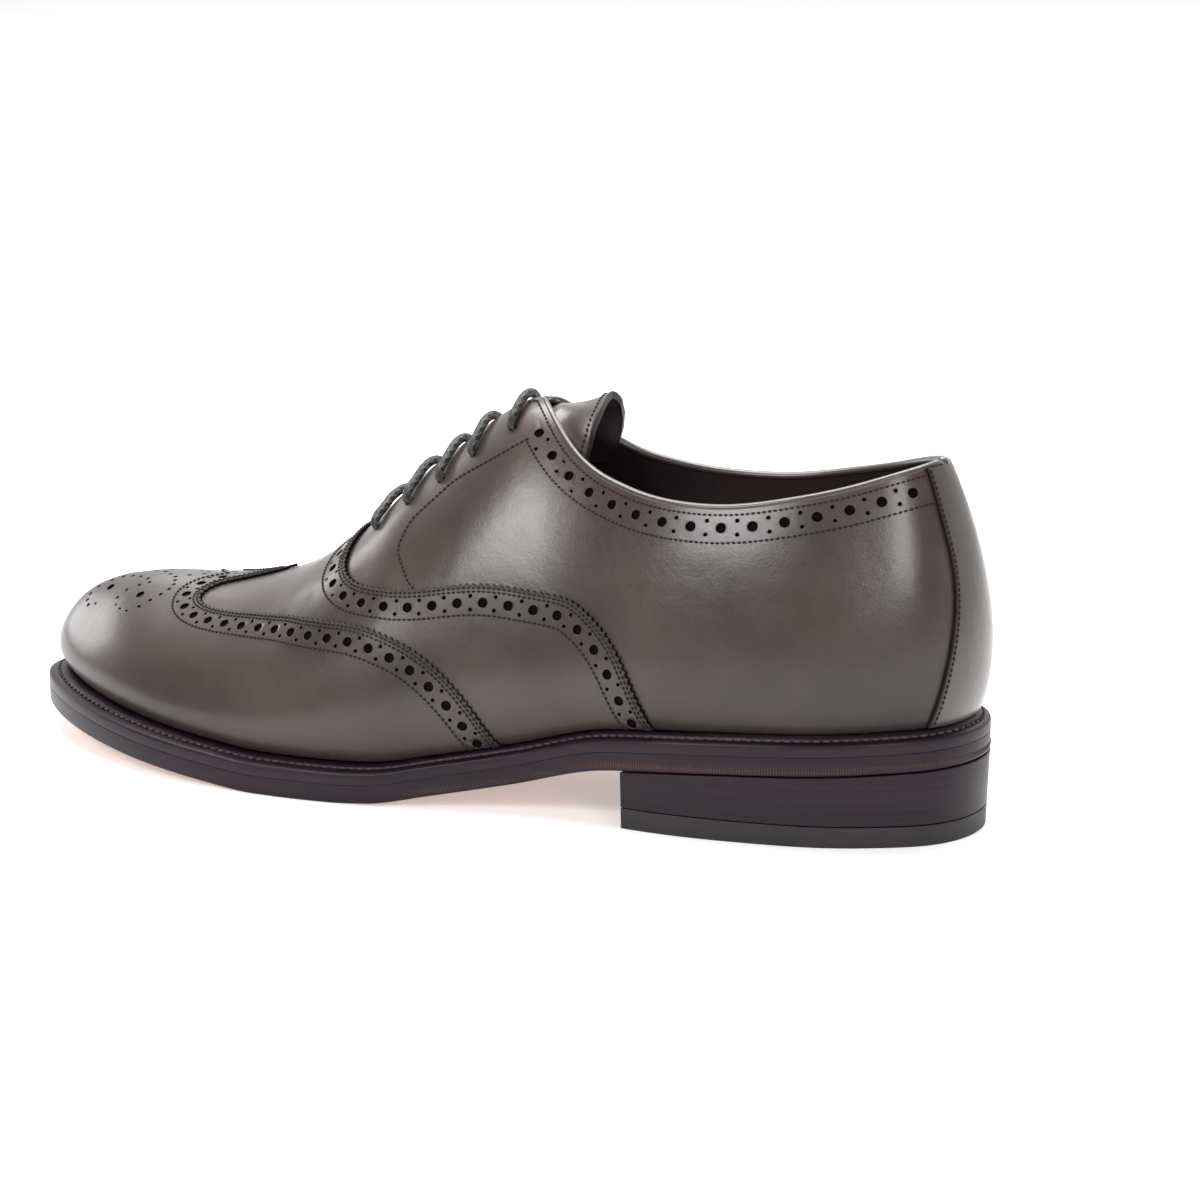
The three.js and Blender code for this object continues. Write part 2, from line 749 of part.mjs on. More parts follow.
function fullSlabGeometry(low, high) {
  const angles = steps(SOLE_STEPS, 0, Math.PI);
  return loftGeometry(angles.map((a) => slabSection({ outer: a, inner: a }, low, high)));
}

function outsoleGeometry() {
  return fullSlabGeometry(
    { out: soleOut, height: underside },
    { out: soleOut, height: outsoleTop },
  );
}

function insoleGeometry() {
  const out = (angle) => innerWallOut(angle) - SEAM_GAP;
  return fullSlabGeometry({ out, height: weltBottom }, { out, height: insoleTop });
}

// The angle at which the sole's edge passes the heel's breast
function breastAngle(side) {
  const breastX = LAST_LENGTH / 2 + margin.outer(0) - HEEL_LENGTH;
  let angle = 0.2;
  let x = Infinity;
  while (x > breastX) {
    angle += BREAST_SEARCH;
    const foot = feather(angle, side);
    x = foot.x + foot.nx * margin[side.name](angle);
  }
  return angle;
}

// How far out the heel's side stands at a height: it tapers in towards the floor
const heelOut = (z) => (angle, side) =>
  soleOut(angle, side) - HEEL_TAPER * (1 - z / HEEL_HEIGHT);

function heelGeometry(low, high) {
  const [outer, inner] = SIDES.map(breastAngle);
  const sections = steps(HEEL_STEPS, 0, 1).map((share) =>
    slabSection({ outer: outer * share, inner: inner * share }, low, high),
  );
  return loftGeometry(sections);
}

function heelTopPieceGeometry() {
  const low = { out: heelOut(0), height: () => 0 };
  const high = { out: heelOut(TOP_PIECE_THICKNESS), height: () => TOP_PIECE_THICKNESS };
  return heelGeometry(low, high);
}

function heelStackGeometry() {
  const bottom = TOP_PIECE_THICKNESS + SEAM_GAP;
  const low = { out: heelOut(TOP_PIECE_THICKNESS), height: () => bottom };
  const high = { out: soleOut, height: (x) => underside(x) - SEAM_GAP };
  return heelGeometry(low, high);
}

// The welt: a ring that stands out to the sole's edge and rises to the feather line
function weltGeometry() {
  const section = (angle, side) => {
    const foot = feather(angle, side);
    const corner = (out, height) => {
      const x = foot.x + foot.nx * out;
      return new THREE.Vector3(x, foot.y + foot.ny * out, height(x));
    };
    const edge = soleOut(angle, side);
    return [
      corner(edge, weltBottom),
      corner(edge, weltRim),
      corner(WELT_SHOULDER, weltTop),
      corner(innerWallOut(angle), weltTop),
      corner(innerWallOut(angle), weltBottom),
    ];
  };
  const angles = steps(SOLE_STEPS, 0, Math.PI);
  const outer = angles.map((angle) => section(angle, SIDES[0]));
  const inner = angles.slice(1, -1).map((angle) => section(angle, SIDES[1]));
  return loftGeometry([...outer, ...inner.reverse()], true);
}

// The shoe

const calf = { color: 0x5c544f, roughness: 0.42, metalness: 0 };
const lining = { color: 0x4a403a, roughness: 0.7, metalness: 0 };
const edgeWax = { color: 0x2c2028, roughness: 0.35, metalness: 0 };
const soleLeather = { color: 0xa87a4c, roughness: 0.6, metalness: 0 };
const rubber = { color: 0x201c1e, roughness: 0.8, metalness: 0 };
const cotton = { color: 0x2b2928, roughness: 0.85, metalness: 0 };

const shoe = new THREE.Group();

function addPiece(name, geometry, look) {
  const mesh = new THREE.Mesh(geometry, new THREE.MeshStandardMaterial(look));
  mesh.name = name;
  shoe.add(mesh);
}

addPiece('outsole', outsoleGeometry(), soleLeather);
addPiece('heel_stack', heelStackGeometry(), edgeWax);
addPiece('heel_top_piece', heelTopPieceGeometry(), rubber);
addPiece('welt', weltGeometry(), edgeWax);
addPiece('insole', insoleGeometry(), lining);
addPiece('upper', upperGeometry(), calf);
addPiece('vamp', vampGeometry(), calf);
addPiece('wing_cap', wingCapGeometry(), calf);
addPiece('back_strip', backStripGeometry(), calf);
addPiece('tongue', tongueGeometry(), calf);
for (let pair = 0; pair < EYELET_PAIRS; pair += 1) {
  addPiece(`lace_bar_${pair + 1}`, laceBarGeometry(pair), cotton);
}

// The origin goes under the middle of the box
const box = new THREE.Box3().setFromObject(shoe);
shoe.position.set(-(box.min.x + box.max.x) / 2, -(box.min.y + box.max.y) / 2, -box.min.z);

export default shoe;
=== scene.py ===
"""Dresses the left full-brogue oxford shoe: panels, perforations, stitches, lace and sole.

Every piece is computed from the same last as the CAD model. Sizes are in millimetres in the
last's own frame, and each mesh is moved to the model's frame in metres as it is made.
"""

import logging
import math
from collections.abc import Callable, Sequence
from dataclasses import dataclass, field
from enum import Enum

import bpy
import numpy as np
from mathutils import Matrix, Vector


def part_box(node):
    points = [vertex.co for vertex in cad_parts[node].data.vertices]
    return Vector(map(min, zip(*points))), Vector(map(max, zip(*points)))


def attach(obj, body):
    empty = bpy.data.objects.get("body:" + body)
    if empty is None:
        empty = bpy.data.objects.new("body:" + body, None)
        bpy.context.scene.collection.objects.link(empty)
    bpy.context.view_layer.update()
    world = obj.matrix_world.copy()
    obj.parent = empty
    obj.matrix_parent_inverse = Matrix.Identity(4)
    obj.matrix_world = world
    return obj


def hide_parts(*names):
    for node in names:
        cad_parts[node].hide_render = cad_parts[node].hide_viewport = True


logging.basicConfig(level=logging.INFO, format="%(message)s")
LOG = logging.getLogger("shoe")

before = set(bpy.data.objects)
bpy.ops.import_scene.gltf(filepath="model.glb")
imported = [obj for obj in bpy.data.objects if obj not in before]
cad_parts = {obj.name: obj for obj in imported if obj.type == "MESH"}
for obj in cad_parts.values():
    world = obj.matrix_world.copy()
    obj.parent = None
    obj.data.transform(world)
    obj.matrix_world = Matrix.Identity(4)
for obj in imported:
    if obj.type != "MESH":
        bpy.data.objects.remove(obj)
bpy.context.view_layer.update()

Array = np.ndarray
Curve = Callable[[Array], Array]
Color = tuple[int, int, int]
Pair = tuple[float, float]
Triple = tuple[float, float, float]

# How near the crest and the feather line directions are taken, in girth shares, and how often
# a search halves its span

NEAR_CREST = 0.998
NEAR_FEATHER = 0.05
HALVINGS = 30

# Punched holes: the room they need for each millimetre of radius and besides, how far a small
# one may move, the most steps that its block grows by, and a direction along no hole's axis

HOLE_ROOM = (1.1, 0.08)
HOLE_MOVES = (0.35, 0.7, 1.05, 1.4)
BLOCK_STEPS = 60
ASKEW = (0.31, 0.52, 0.79)

# The numbers of a sheet's finishes: outer face, inner face, and cut edge, whose near-black finish
# also paints the hole floors as painted shade

FACE, BACK, CUT = 0, 1, 2

# How far a line is moved sideways at a time, in millimetres

OFFSET_STEP = 1.2

# The shares of a quarter turn at which a rounded edge has its points

ROUND = (0.0, 0.3, 0.6, 0.85, 1.0)

# Tables of the last, each a set of named columns. Stations are shares of the last's length

PLAN = {
    "at": (0, 0.02, 0.06, 0.11, 0.18, 0.27, 0.4, 0.5, 0.6, 0.7, 0.8, 0.9, 0.96, 0.99, 1),
    "outer": (0, 0.186, 0.28, 0.351, 0.395, 0.412, 0.391, 0.446, 0.508, 0.516, 0.471, 0.345,
              0.208, 0.098, 0),
    "inner": (0, 0.167, 0.274, 0.328, 0.341, 0.326, 0.304, 0.348, 0.429, 0.491, 0.473, 0.353,
              0.233, 0.12, 0),
}
EDGE = {
    "at": (0, 0.15, 0.3, 0.42, 0.55, 0.7, 0.85, 1),
    "outer": (0.64, 0.64, 0.7, 0.73, 0.91, 0.97, 1, 1),
    "inner": (0.64, 0.61, 0.52, 0.45, 0.67, 0.94, 1, 1),
}
UNDERSIDE = {
    "at": (0, 0.12, 0.22, 0.32, 0.42, 0.5, 0.56, 0.6, 0.68, 0.74, 0.82, 0.91, 1),
    "heel": (1, 0.923, 0.855, 0.736, 0.386, 0.164, 0.018, 0, 0, 0, 0, 0, 0),
    "toe": (0, 0, 0, 0, 0, 0, 0, 0, 0, 0.151, 0.395, 0.709, 1),
}
CREST = {
    "at": (0, 0.12, 0.25, 0.36, 0.46, 0.52, 0.58, 0.64, 0.7, 0.76, 0.83, 0.9, 0.95, 1),
    "swing": (0.011, 0.016, 0.022, 0.027, 0.033, 0.033, 0.033, 0.033, 0.027, 0.022, 0.011,
              0.005, 0.003, 0),
    "depth": (0.975, 0.982, 0.953, 0.928, 0.999, 0.923, 0.806, 0.633, 0.495, 0.414, 0.367,
              0.338, 0.302, 0.309),
}
RIBS = {
    "at": (0, 0.1, 0.25, 0.4, 0.55, 0.7, 0.85, 1),
    "lean": (0.132, 0.138, 0.068, 0, 0, 0, 0.027, 0.077),
    "swell": (0.049, 0.044, 0.05, 0.061, 0.05, 0.039, 0.035, 0.045),
    "swell_at": (0.36, 0.22, 0.22, 0.25, 0.28, 0.3, 0.32, 0.34),
    "across": (0.87, 1, 1.05, 1.15, 1.15, 1, 1, 0.98),
    "up": (1, 1, 1, 1.05, 1.05, 1, 0.95, 0.84),
}
LAYERS = {"at": (0, 0.25, 0.55, 0.7, 0.85, 1), "drop": (0, 0, 0.9, 1.1, 1.5, 1.6)}
COLLAR = {
    "at": (0, 0.02, 0.06, 0.12, 0.19, 0.26, 0.32, 0.37, 0.41, 0.43, 0.45, 0.465),
    "up": (0.539, 0.522, 0.491, 0.463, 0.451, 0.484, 0.546, 0.62, 0.72, 0.8, 0.91, 1.02),
}

# Seams and stitch lines, each running from the feather line up: girth share and station

WING_SEAM = {
    "up": (0, 0.1, 0.2, 0.29, 0.39, 0.47, 0.52, 0.56, 0.6, 0.63, 0.66, 0.69, 0.74, 0.82, 0.88,
           0.94, 1),
    "at": (0.434, 0.461, 0.5, 0.546, 0.612, 0.655, 0.679, 0.704, 0.738, 0.77, 0.796, 0.811,
           0.8215, 0.822, 0.811, 0.78, 0.735),
}
VAMP_SEAM = {
    "up": (0, 0.1, 0.2, 0.27, 0.31, 0.33, 0.355, 0.39, 0.43, 0.49, 0.57, 0.7, 0.85, 1),
    "at": (0.272, 0.289, 0.315, 0.348, 0.388, 0.432, 0.485, 0.533, 0.569, 0.6, 0.62, 0.633,
           0.638, 0.64),
}
STRIP_SEAM = {"up": (0, 0.13, 0.28, 0.4, 0.51), "half": (0.205, 0.17, 0.132, 0.13, 0.125)}
TONGUE_EDGE = {
    "at": (0.368, 0.371, 0.376, 0.385, 0.42, 0.5, 0.58, 0.66),
    "up": (0.84, 0.76, 0.69, 0.63, 0.6, 0.64, 0.7, 0.78),
}
EYELETS = {"at": (0.47, 0.54, 0.608), "up": (0.765, 0.725, 0.725)}
FACING_STITCH = {
    "at": (0.448, 0.469, 0.494, 0.518, 0.539, 0.557, 0.563, 0.563, 0.554, 0.543, 0.536),
    "up": (0.698, 0.671, 0.662, 0.667, 0.647, 0.617, 0.567, 0.529, 0.475, 0.423, 0.398),
}

# Soft troughs and ridges where the leather gives: middle, half lengths along the shoe and up
# the girth, slant, and height in millimetres, below nought for a trough

CREASES = {
    "at": (0.655, 0.69, 0.6, 0.565, 0.72, 0.5, 0.34, 0.17, 0.2, 0.88, 0.76, 0.42),
    "up": (0.8, 0.72, 0.5, 0.3, 0.4, 0.5, 0.3, 0.3, 0.12, 0.45, 0.2, 0.62),
    "long": (0.012, 0.014, 0.018, 0.03, 0.03, 0.03, 0.05, 0.06, 0.05, 0.03, 0.05, 0.03),
    "wide": (0.2, 0.2, 0.16, 0.16, 0.16, 0.14, 0.14, 0.1, 0.06, 0.2, 0.1, 0.1),
    "slant": (0.02, -0.03, 0.06, 0.08, 0.1, 0.04, 0.0, 0.1, 0.0, 0.0, 0.1, 0.05),
    "deep": (-0.28, 0.16, -0.3, 0.22, -0.25, 0.25, -0.3, 0.25, -0.2, 0.2, -0.2, -0.2),
}


class Side(Enum):
    """A side of the shoe, with the sign of y on it."""

    OUTER = -1
    INNER = 1


class SmoothCurve:
    """A cubic curve through given points, as smooth as it can be."""

    def __init__(self, xs: Sequence[float], ys: Sequence[float], flat_ends: bool) -> None:
        """Solve for the slopes at the points.

        Args:
            xs: Where the points are, rising.
            ys: The values there.
            flat_ends: Whether the curve is level at its ends, and not merely straight.
        """
        self.xs = np.asarray(xs, float)
        self.ys = np.asarray(ys, float)
        count = len(self.xs)
        spans = np.diff(self.xs)
        rises = np.diff(self.ys) / spans
        matrix = np.zeros((count, count))
        goal = np.zeros(count)
        for i in range(1, count - 1):
            below = spans[i] / (spans[i - 1] + spans[i])
            matrix[i, i - 1 : i + 2] = (below, 2, 1 - below)
            goal[i] = 3 * (rises[i - 1] * below + rises[i] * (1 - below))
        matrix[0, 0] = matrix[-1, -1] = 2
        if not flat_ends:
            matrix[0, 1] = matrix[-1, -2] = 1
            goal[0], goal[-1] = 3 * rises[0], 3 * rises[-1]
        self.slopes = np.linalg.solve(matrix, goal)

    def __call__(self, value: Array) -> Array:
        """Return the curve's value, held level past its ends."""
        x = np.clip(value, self.xs[0], self.xs[-1])
        right = np.clip(np.searchsorted(self.xs, x), 1, len(self.xs) - 1)
        left = right - 1
        span = self.xs[right] - self.xs[left]
        t = (x - self.xs[left]) / span
        rise = 3 * t * t - 2 * t**3
        bend = self.slopes[left] * t * (1 - t) ** 2 - self.slopes[right] * t * t * (1 - t)
        return self.ys[left] * (1 - rise) + self.ys[right] * rise + bend * span


class SteadyCurve(SmoothCurve):
    """A cubic curve that never overshoots its points."""

    def __init__(self, xs: Sequence[float], ys: Sequence[float]) -> None:
        """Take harmonic means of the rises as slopes, or none where the curve turns."""
        super().__init__(xs, ys, flat_ends=False)
        rises = np.diff(self.ys) / np.diff(self.xs)
        before = np.concatenate([rises[:1], rises])
        after = np.concatenate([rises, rises[-1:]])
        product = before * after
        total = np.where(product > 0, before + after, 1)
        self.slopes = np.where(product > 0, 2 * product / total, 0)


def station_of(angle: Array) -> Array:
    """Return the share of the last's length at a rib angle."""
    return (1 - np.cos(angle)) / 2


def angle_of(station: Array) -> Array:
    """Return the rib angle at a share of the last's length."""
    return np.arccos(np.clip(1 - 2 * np.asarray(station, float), -1, 1))


def round_curve(table: dict, column: str, scale: float, flat_ends: bool = True) -> SmoothCurve:
    """Return a column of a table as a curve over the rib angle."""
    return SmoothCurve(angle_of(table["at"]), scale * np.array(table[column]), flat_ends)


def share_curve(table: dict, key: str, column: str, scale: float = 1) -> SmoothCurve:
    """Return a column of a table as a curve over another column."""
    return SmoothCurve(table[key], scale * np.array(table[column]), False)


def unit(vectors: Array) -> Array:
    """Return vectors cut to length one."""
    return vectors / np.maximum(np.linalg.norm(vectors, axis=-1, keepdims=True), 1e-12)


@dataclass
class Last:
    """The form that the shoe is pulled over, with the heights that ride on its sole."""

    length: float = 295
    ball_width: float = 92
    instep_depth: float = 97
    heel_height: float = 22
    toe_spring: float = 8.6
    welt_margin: float = 6.6
    outsole: float = 5.5
    welt: float = 3.3
    welt_rise: float = 2
    seam_gap: float = 0.3
    layer: float = 1.55
    throat_gap: float = 6
    throat_station: float = 0.64
    shift: Array = field(default_factory=lambda: np.zeros(3))

    def __post_init__(self) -> None:
        """Make the curves, and find how far the CAD model's frame is from the last's."""
        width = self.ball_width
        names = {side: side.name.lower() for side in Side}
        self.half = {side: round_curve(PLAN, names[side], width, False) for side in Side}
        self.margin = {side: round_curve(EDGE, names[side], self.welt_margin) for side in Side}
        heights = self.heel_height * np.array(UNDERSIDE["heel"], float)
        heights += self.toe_spring * np.array(UNDERSIDE["toe"], float)
        self.under_curve = SteadyCurve(UNDERSIDE["at"], heights)
        self.swing = share_curve(CREST, "at", "swing", width)
        self.depth = share_curve(CREST, "at", "depth", self.instep_depth)
        self.lean = round_curve(RIBS, "lean", self.length)
        self.swell = round_curve(RIBS, "swell", width)
        self.swell_at = round_curve(RIBS, "swell_at", 1)
        self.across = round_curve(RIBS, "across", 1)
        self.up = round_curve(RIBS, "up", 1)
        self.drop = round_curve(LAYERS, "drop", self.layer)
        self.collar_up = share_curve(COLLAR, "at", "up")
        turns = np.linspace(0, math.pi, 41)
        rims = []
        for side in Side:
            foot, normal = self.feather(turns, side)
            rims.append(foot + normal * self.margin[side](turns)[:, None])
        rim = np.concatenate(rims)
        low = np.array(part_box("outsole")[0]) * 1000
        self.shift = np.array([low[0] - rim[:, 0].min(), low[1] - rim[:, 1].min(), 0])

    def x_of(self, station: Array) -> Array:
        """Return x at a share of the last's length."""
        return self.length * (0.5 - np.asarray(station, float))

    def station_at(self, x: Array) -> Array:
        """Return the share of the last's length at x."""
        return np.clip(0.5 - np.asarray(x, float) / self.length, 0, 1)

    def underside(self, x: Array) -> Array:
        """Return the height of the outsole's underside."""
        return self.under_curve(self.station_at(x))

    def outsole_top(self, x: Array) -> Array:
        """Return the height of the outsole's top."""
        return self.underside(x) + self.outsole

    def welt_bottom(self, x: Array) -> Array:
        """Return the height of the welt's underside."""
        return self.outsole_top(x) + self.seam_gap

    def welt_top(self, x: Array) -> Array:
        """Return the height of the welt where it meets the upper."""
        return self.welt_bottom(x) + self.welt + self.welt_rise

    def feather_height(self, x: Array) -> Array:
        """Return the height of the feather line."""
        return self.welt_top(x) + self.seam_gap

    def feather(self, angle: Array, side: Side) -> tuple[Array, Array]:
        """Find the feather line in plan.

        Args:
            angle: Rib angles.
            side: The side of the shoe.

        Returns:
            The points and the directions away from the shoe, each as x and y.
        """
        step = 0.001
        angle = np.asarray(angle, float)

        def place(a: Array) -> Array:
            """Return x and y of the line."""
            return np.stack([self.x_of(station_of(a)), side.value * self.half[side](a)], -1)

        along = place(angle + step) - place(angle - step)
        normal = unit(side.value * np.stack([along[..., 1], -along[..., 0]], -1))
        ends = (angle < step) | (angle > math.pi - step)
        straight = np.stack([np.where(angle < step, 1.0, -1.0), np.zeros_like(angle)], -1)
        return place(angle), np.where(ends[..., None], straight, normal)

    def outside(self, angle: Array, side: Side, out: Array) -> tuple[Array, Array, Array]:
        """Find places outside the feather line.

        Args:
            angle: Rib angles.
            side: The side of the shoe.
            out: How far outside, in millimetres.

        Returns:
            Their x, their y, and the directions away from the shoe.
        """
        foot, normal = self.feather(angle, side)
        return foot[..., 0] + normal[..., 0] * out, foot[..., 1] + normal[..., 1] * out, normal

    def point(self, angle: Array, girth: Array, side: Side) -> Array:
        """Find points on the last.

        Args:
            angle: Rib angles.
            girth: Girth shares.
            side: The side of the shoe.

        Returns:
            The points.
        """
        angle, girth = np.broadcast_arrays(np.asarray(angle, float), np.asarray(girth, float))
        foot, normal = self.feather(angle, side)
        direction = np.where(station_of(angle) < 0.5, -1, 1)
        top_x = foot[..., 0] + direction * self.lean(angle)
        top_y = self.swing(self.station_at(top_x))
        turn = girth * math.pi / 2
        across = 1 - np.maximum(np.cos(turn), 0) ** self.across(angle)
        up = np.maximum(np.sin(turn), 0) ** self.up(angle)
        ratio = up / self.swell_at(angle)
        swell = self.swell(angle) * ratio * np.exp(1 - ratio) * (1 - up * up)
        x = foot[..., 0] + (top_x - foot[..., 0]) * across + normal[..., 0] * swell
        y = foot[..., 1] + (top_y - foot[..., 1]) * across + normal[..., 1] * swell
        crest = self.feather_height(x) + self.depth(self.station_at(x))
        z = self.feather_height(foot[..., 0]) * (1 - up) + crest * up
        return np.stack([x, y, z], -1)

    def rib_normal(self, angle: Array, girth: Array, side: Side) -> Array:
        """Return directions away from the last, by small steps on it."""
        step = 0.004
        along = self.point(np.minimum(angle + step, math.pi), girth, side)
        along = along - self.point(np.maximum(angle - step, 0), girth, side)
        upward = self.point(angle, np.minimum(girth + step, 1), side)
        upward = upward - self.point(angle, np.maximum(girth - step, 0), side)
        return unit(side.value * np.cross(along, upward))

    def normal(self, angle: Array, girth: Array, side: Side) -> Array:
        """Return directions away from the last, alike for both sides where they meet."""
        angle, girth = np.broadcast_arrays(np.asarray(angle, float), np.asarray(girth, float))
        top = np.minimum(girth, NEAR_CREST)
        own = self.rib_normal(angle, top, side)
        both = self.rib_normal(angle, top, Side.OUTER) + self.rib_normal(angle, top, Side.INNER)
        ends = (angle <= 1e-6) | (angle >= math.pi - 1e-6)
        both[..., 1] = np.where(ends, 0, both[..., 1])
        shared = ends | (girth >= 1)
        result = np.where(shared[..., None], unit(both), own)
        foot = self.feather(angle, side)[1]
        flat = np.concatenate([foot, np.zeros(foot.shape[:-1] + (1,))], -1)
        low = np.clip(1 - girth / NEAR_FEATHER, 0, 1)[..., None]
        return unit(result * (1 - low) + flat * low)

    def on_upper(self, angle: Array, girth: Array, side: Side, lift: Array) -> Array:
        """Return points over the upper's outer face, or under it where the lift is negative."""
        lifted = np.asarray(lift, float) - self.drop(np.asarray(angle, float))
        lifted = (lifted + self.creases(angle, girth))[..., None]
        return self.point(angle, girth, side) + self.normal(angle, girth, side) * lifted

    def creases(self, angle: Array, girth: Array) -> Array:
        """Return how far the leather stands out or sinks in its soft creases."""
        station, girth = station_of(np.asarray(angle, float)), np.asarray(girth, float)
        total = np.zeros(np.broadcast_shapes(station.shape, girth.shape))
        for at, up, long, wide, slant, deep in zip(*CREASES.values()):
            along = (station - at - slant * (girth - up)) / long
            across = (girth - up) / wide
            total = total + deep * np.exp(-along * along - across * across)
        return total

    def throat_up(self, angle: Array, side: Side) -> Array:
        """Return the girth share at which ribs come within half the throat's gap."""
        angle = np.asarray(angle, float)
        low = np.full(angle.shape, 0.5)
        high = np.ones(angle.shape)
        top = self.point(angle, high, side)[..., 1]
        for _ in range(HALVINGS):
            middle = (low + high) / 2
            away = np.abs(self.point(angle, middle, side)[..., 1] - top)
            wide = away > self.throat_gap / 2
            low = np.where(wide, middle, low)
            high = np.where(wide, high, middle)
        return low

    def top_up(self, angle: Array, side: Side) -> Array:
        """Return the girth share of the upper's top edge: collar, throat, then crest."""
        angle = np.asarray(angle, float)
        station = station_of(angle)
        throat = self.throat_up(angle, side)
        collar = np.where(station > COLLAR["at"][-1], 2, self.collar_up(station))
        return np.where(station >= self.throat_station, 1, np.minimum(collar, throat))

    def to_world(self, points: Array) -> Array:
        """Return points in the CAD model's frame, in metres."""
        return (np.asarray(points, float) + self.shift) / 1000


# Nodes and finishes


class Nodes:
    """Adds nodes and links to a tree by short calls."""

    def __init__(self, tree: bpy.types.NodeTree, prefix: str = "") -> None:
        """Take the tree, and what the types of its nodes begin with."""
        self.tree = tree
        self.prefix = prefix

    def node(self, kind: str, inputs: dict | None = None, **settings: object) -> bpy.types.Node:
        """Add a node.

        Args:
            kind: The node's type, without the prefix.
            inputs: What each socket holds, by name or number: a value or another's socket.
            **settings: The node's own settings.

        Returns:
            The node.
        """
        node = self.tree.nodes.new(self.prefix + kind)
        for name, value in settings.items():
            setattr(node, name, value)
        for name, value in (inputs or {}).items():
            self.set(node.inputs[name], value)
        return node

    def set(self, socket: bpy.types.NodeSocket, value: object) -> None:
        """Put a value or another node's socket into a socket."""
        if isinstance(value, bpy.types.NodeSocket):
            self.tree.links.new(value, socket)
        else:
            socket.default_value = value


class Shader(Nodes):
    """Builds a material by short calls."""

    def __init__(self, name: str) -> None:
        """Make the material with its main shader."""
        self.material = bpy.data.materials.new(name)
        self.material.use_nodes = True
        super().__init__(self.material.node_tree, "ShaderNode")
        self.main = self.tree.nodes["Principled BSDF"]
        self.coords = self.node("TexCoord").outputs["Object"]

    def noise(self, size: float, detail: float = 2) -> object:
        """Return smooth noise with spots of a given size in metres."""
        inputs = {"Vector": self.coords, "Scale": 1 / size, "Detail": detail}
        return self.node("TexNoise", inputs).outputs["Fac"]

    def streaks(self, scale: Triple, detail: float) -> object:
        """Return noise with a given number of spots to the metre along each axis."""
        drawn = self.node("Mapping", {"Vector": self.coords, "Scale": scale}).outputs[0]
        inputs = {"Vector": drawn, "Scale": 1.0, "Detail": detail}
        return self.node("TexNoise", inputs).outputs["Fac"]

    def cells(self, size: float) -> object:
        """Return the distance to the middles of small cells of a given size in metres."""
        inputs = {"Vector": self.coords, "Scale": 1 / size}
        return self.node("TexVoronoi", inputs, feature="F1").outputs["Distance"]

    def math(self, kind: str, a: object, b: object) -> object:
        """Return a sum, product or other result of two values."""
        return self.node("Math", {0: a, 1: b}, operation=kind).outputs[0]

    def ramp(
        self, value: object, dark: Triple, light: Triple, low: float = 0.3, high: float = 0.7
    ) -> object:
        """Return a colour between two.

        Args:
            value: The socket that picks the colour.
            dark: The colour below the low value, in linear numbers.
            light: The colour above the high one.
            low: Where the colour begins to change.
            high: Where it stops.

        Returns:
            The colour's socket.
        """
        node = self.node("ValToRGB", {"Fac": value})
        for element, place, color in zip(
            node.color_ramp.elements, (low, high), (dark, light)
        ):
            element.position = place
            element.color = (*color, 1)
        return node.outputs["Color"]

    def spread(self, value: object, low: float, high: float) -> object:
        """Return a value from 0 to 1 as one from low to high."""
        inputs = {"Value": value, "To Min": low, "To Max": high}
        return self.node("MapRange", inputs).outputs["Result"]

    def blend(self, share: object, first: object, second: object, kind: str = "MIX") -> object:
        """Return two colours blended."""
        inputs = {"Factor": share, 6: first, 7: second}
        return self.node("Mix", inputs, data_type="RGBA", blend_type=kind).outputs[2]

    def bump(self, height: object, depth: float, before: object = None) -> object:
        """Return a surface direction bent by a height from 0 to 1, its depth in metres."""
        inputs = {"Height": height, "Distance": depth, "Strength": 1.0}
        if before is not None:
            inputs["Normal"] = before
        return self.node("Bump", inputs).outputs["Normal"]

    def finish(self, **sockets: object) -> bpy.types.Material:
        """Fill the main shader's sockets, an underscore for each space, and return the material."""
        for name, value in sockets.items():
            self.set(self.main.inputs[name.replace("_", " ")], value)
        return self.material


def linear(color: Color) -> Triple:
    """Return a colour given from 0 to 255 as the linear numbers that nodes take."""

    def one(value: int) -> float:
        """Return one channel."""
        share = value / 255
        return share / 12.92 if share <= 0.04045 else ((share + 0.055) / 1.055) ** 2.4

    return tuple(one(value) for value in color)


@dataclass(frozen=True)
class Calf:
    """Smooth waxed calf: fine grain, soft mottling, darker along cut edges, with painted shade
    towards the welt and round the hole lips.
    """

    name: str = "waxed_calf"
    light: Color = (64, 53, 48)
    dark: Color = (42, 34, 31)
    # The dark colour mixed in along cut edges, and as painted shade towards the welt and round the
    # holes
    edge: Color = (24, 18, 18)
    grain: float = 0.00075
    grain_depth: float = 0.000022
    roughness: Pair = (0.27, 0.36)

    def build(self) -> bpy.types.Material:
        """Make the material."""
        shader = Shader(self.name)
        color = shader.ramp(shader.noise(0.035, 3), linear(self.dark), linear(self.light))
        fleck = shader.spread(shader.noise(0.0022), 0.88, 1.1)
        color = shader.blend(1.0, color, fleck, "MULTIPLY")
        # Mix in the dark colour along cut edges and as painted shade towards the welt and round the
        # hole lips; the coat and specular are taken away there too
        edge_dark_and_shade = shader.node("Attribute", attribute_name="edge_dark_and_shade").outputs["Fac"]
        color = shader.blend(edge_dark_and_shade, color, (*linear(self.edge), 1))
        pores = shader.noise(self.grain * 0.7, 3)
        height = shader.math("ADD", shader.math("MULTIPLY", shader.cells(self.grain), 0.7), pores)
        normal = shader.bump(height, self.grain_depth)
        rough = shader.spread(shader.noise(0.012, 3), *self.roughness)
        return shader.finish(
            Base_Color=color,
            Roughness=shader.math("ADD", rough, shader.math("MULTIPLY", edge_dark_and_shade, 0.5)),
            Normal=shader.bump(shader.noise(0.006), 0.00012, normal),
            Coat_Weight=shader.spread(edge_dark_and_shade, 0.25, 0.0),
            Coat_Roughness=0.2,
            Specular_IOR_Level=shader.spread(edge_dark_and_shade, 0.55, 0.05),
        )


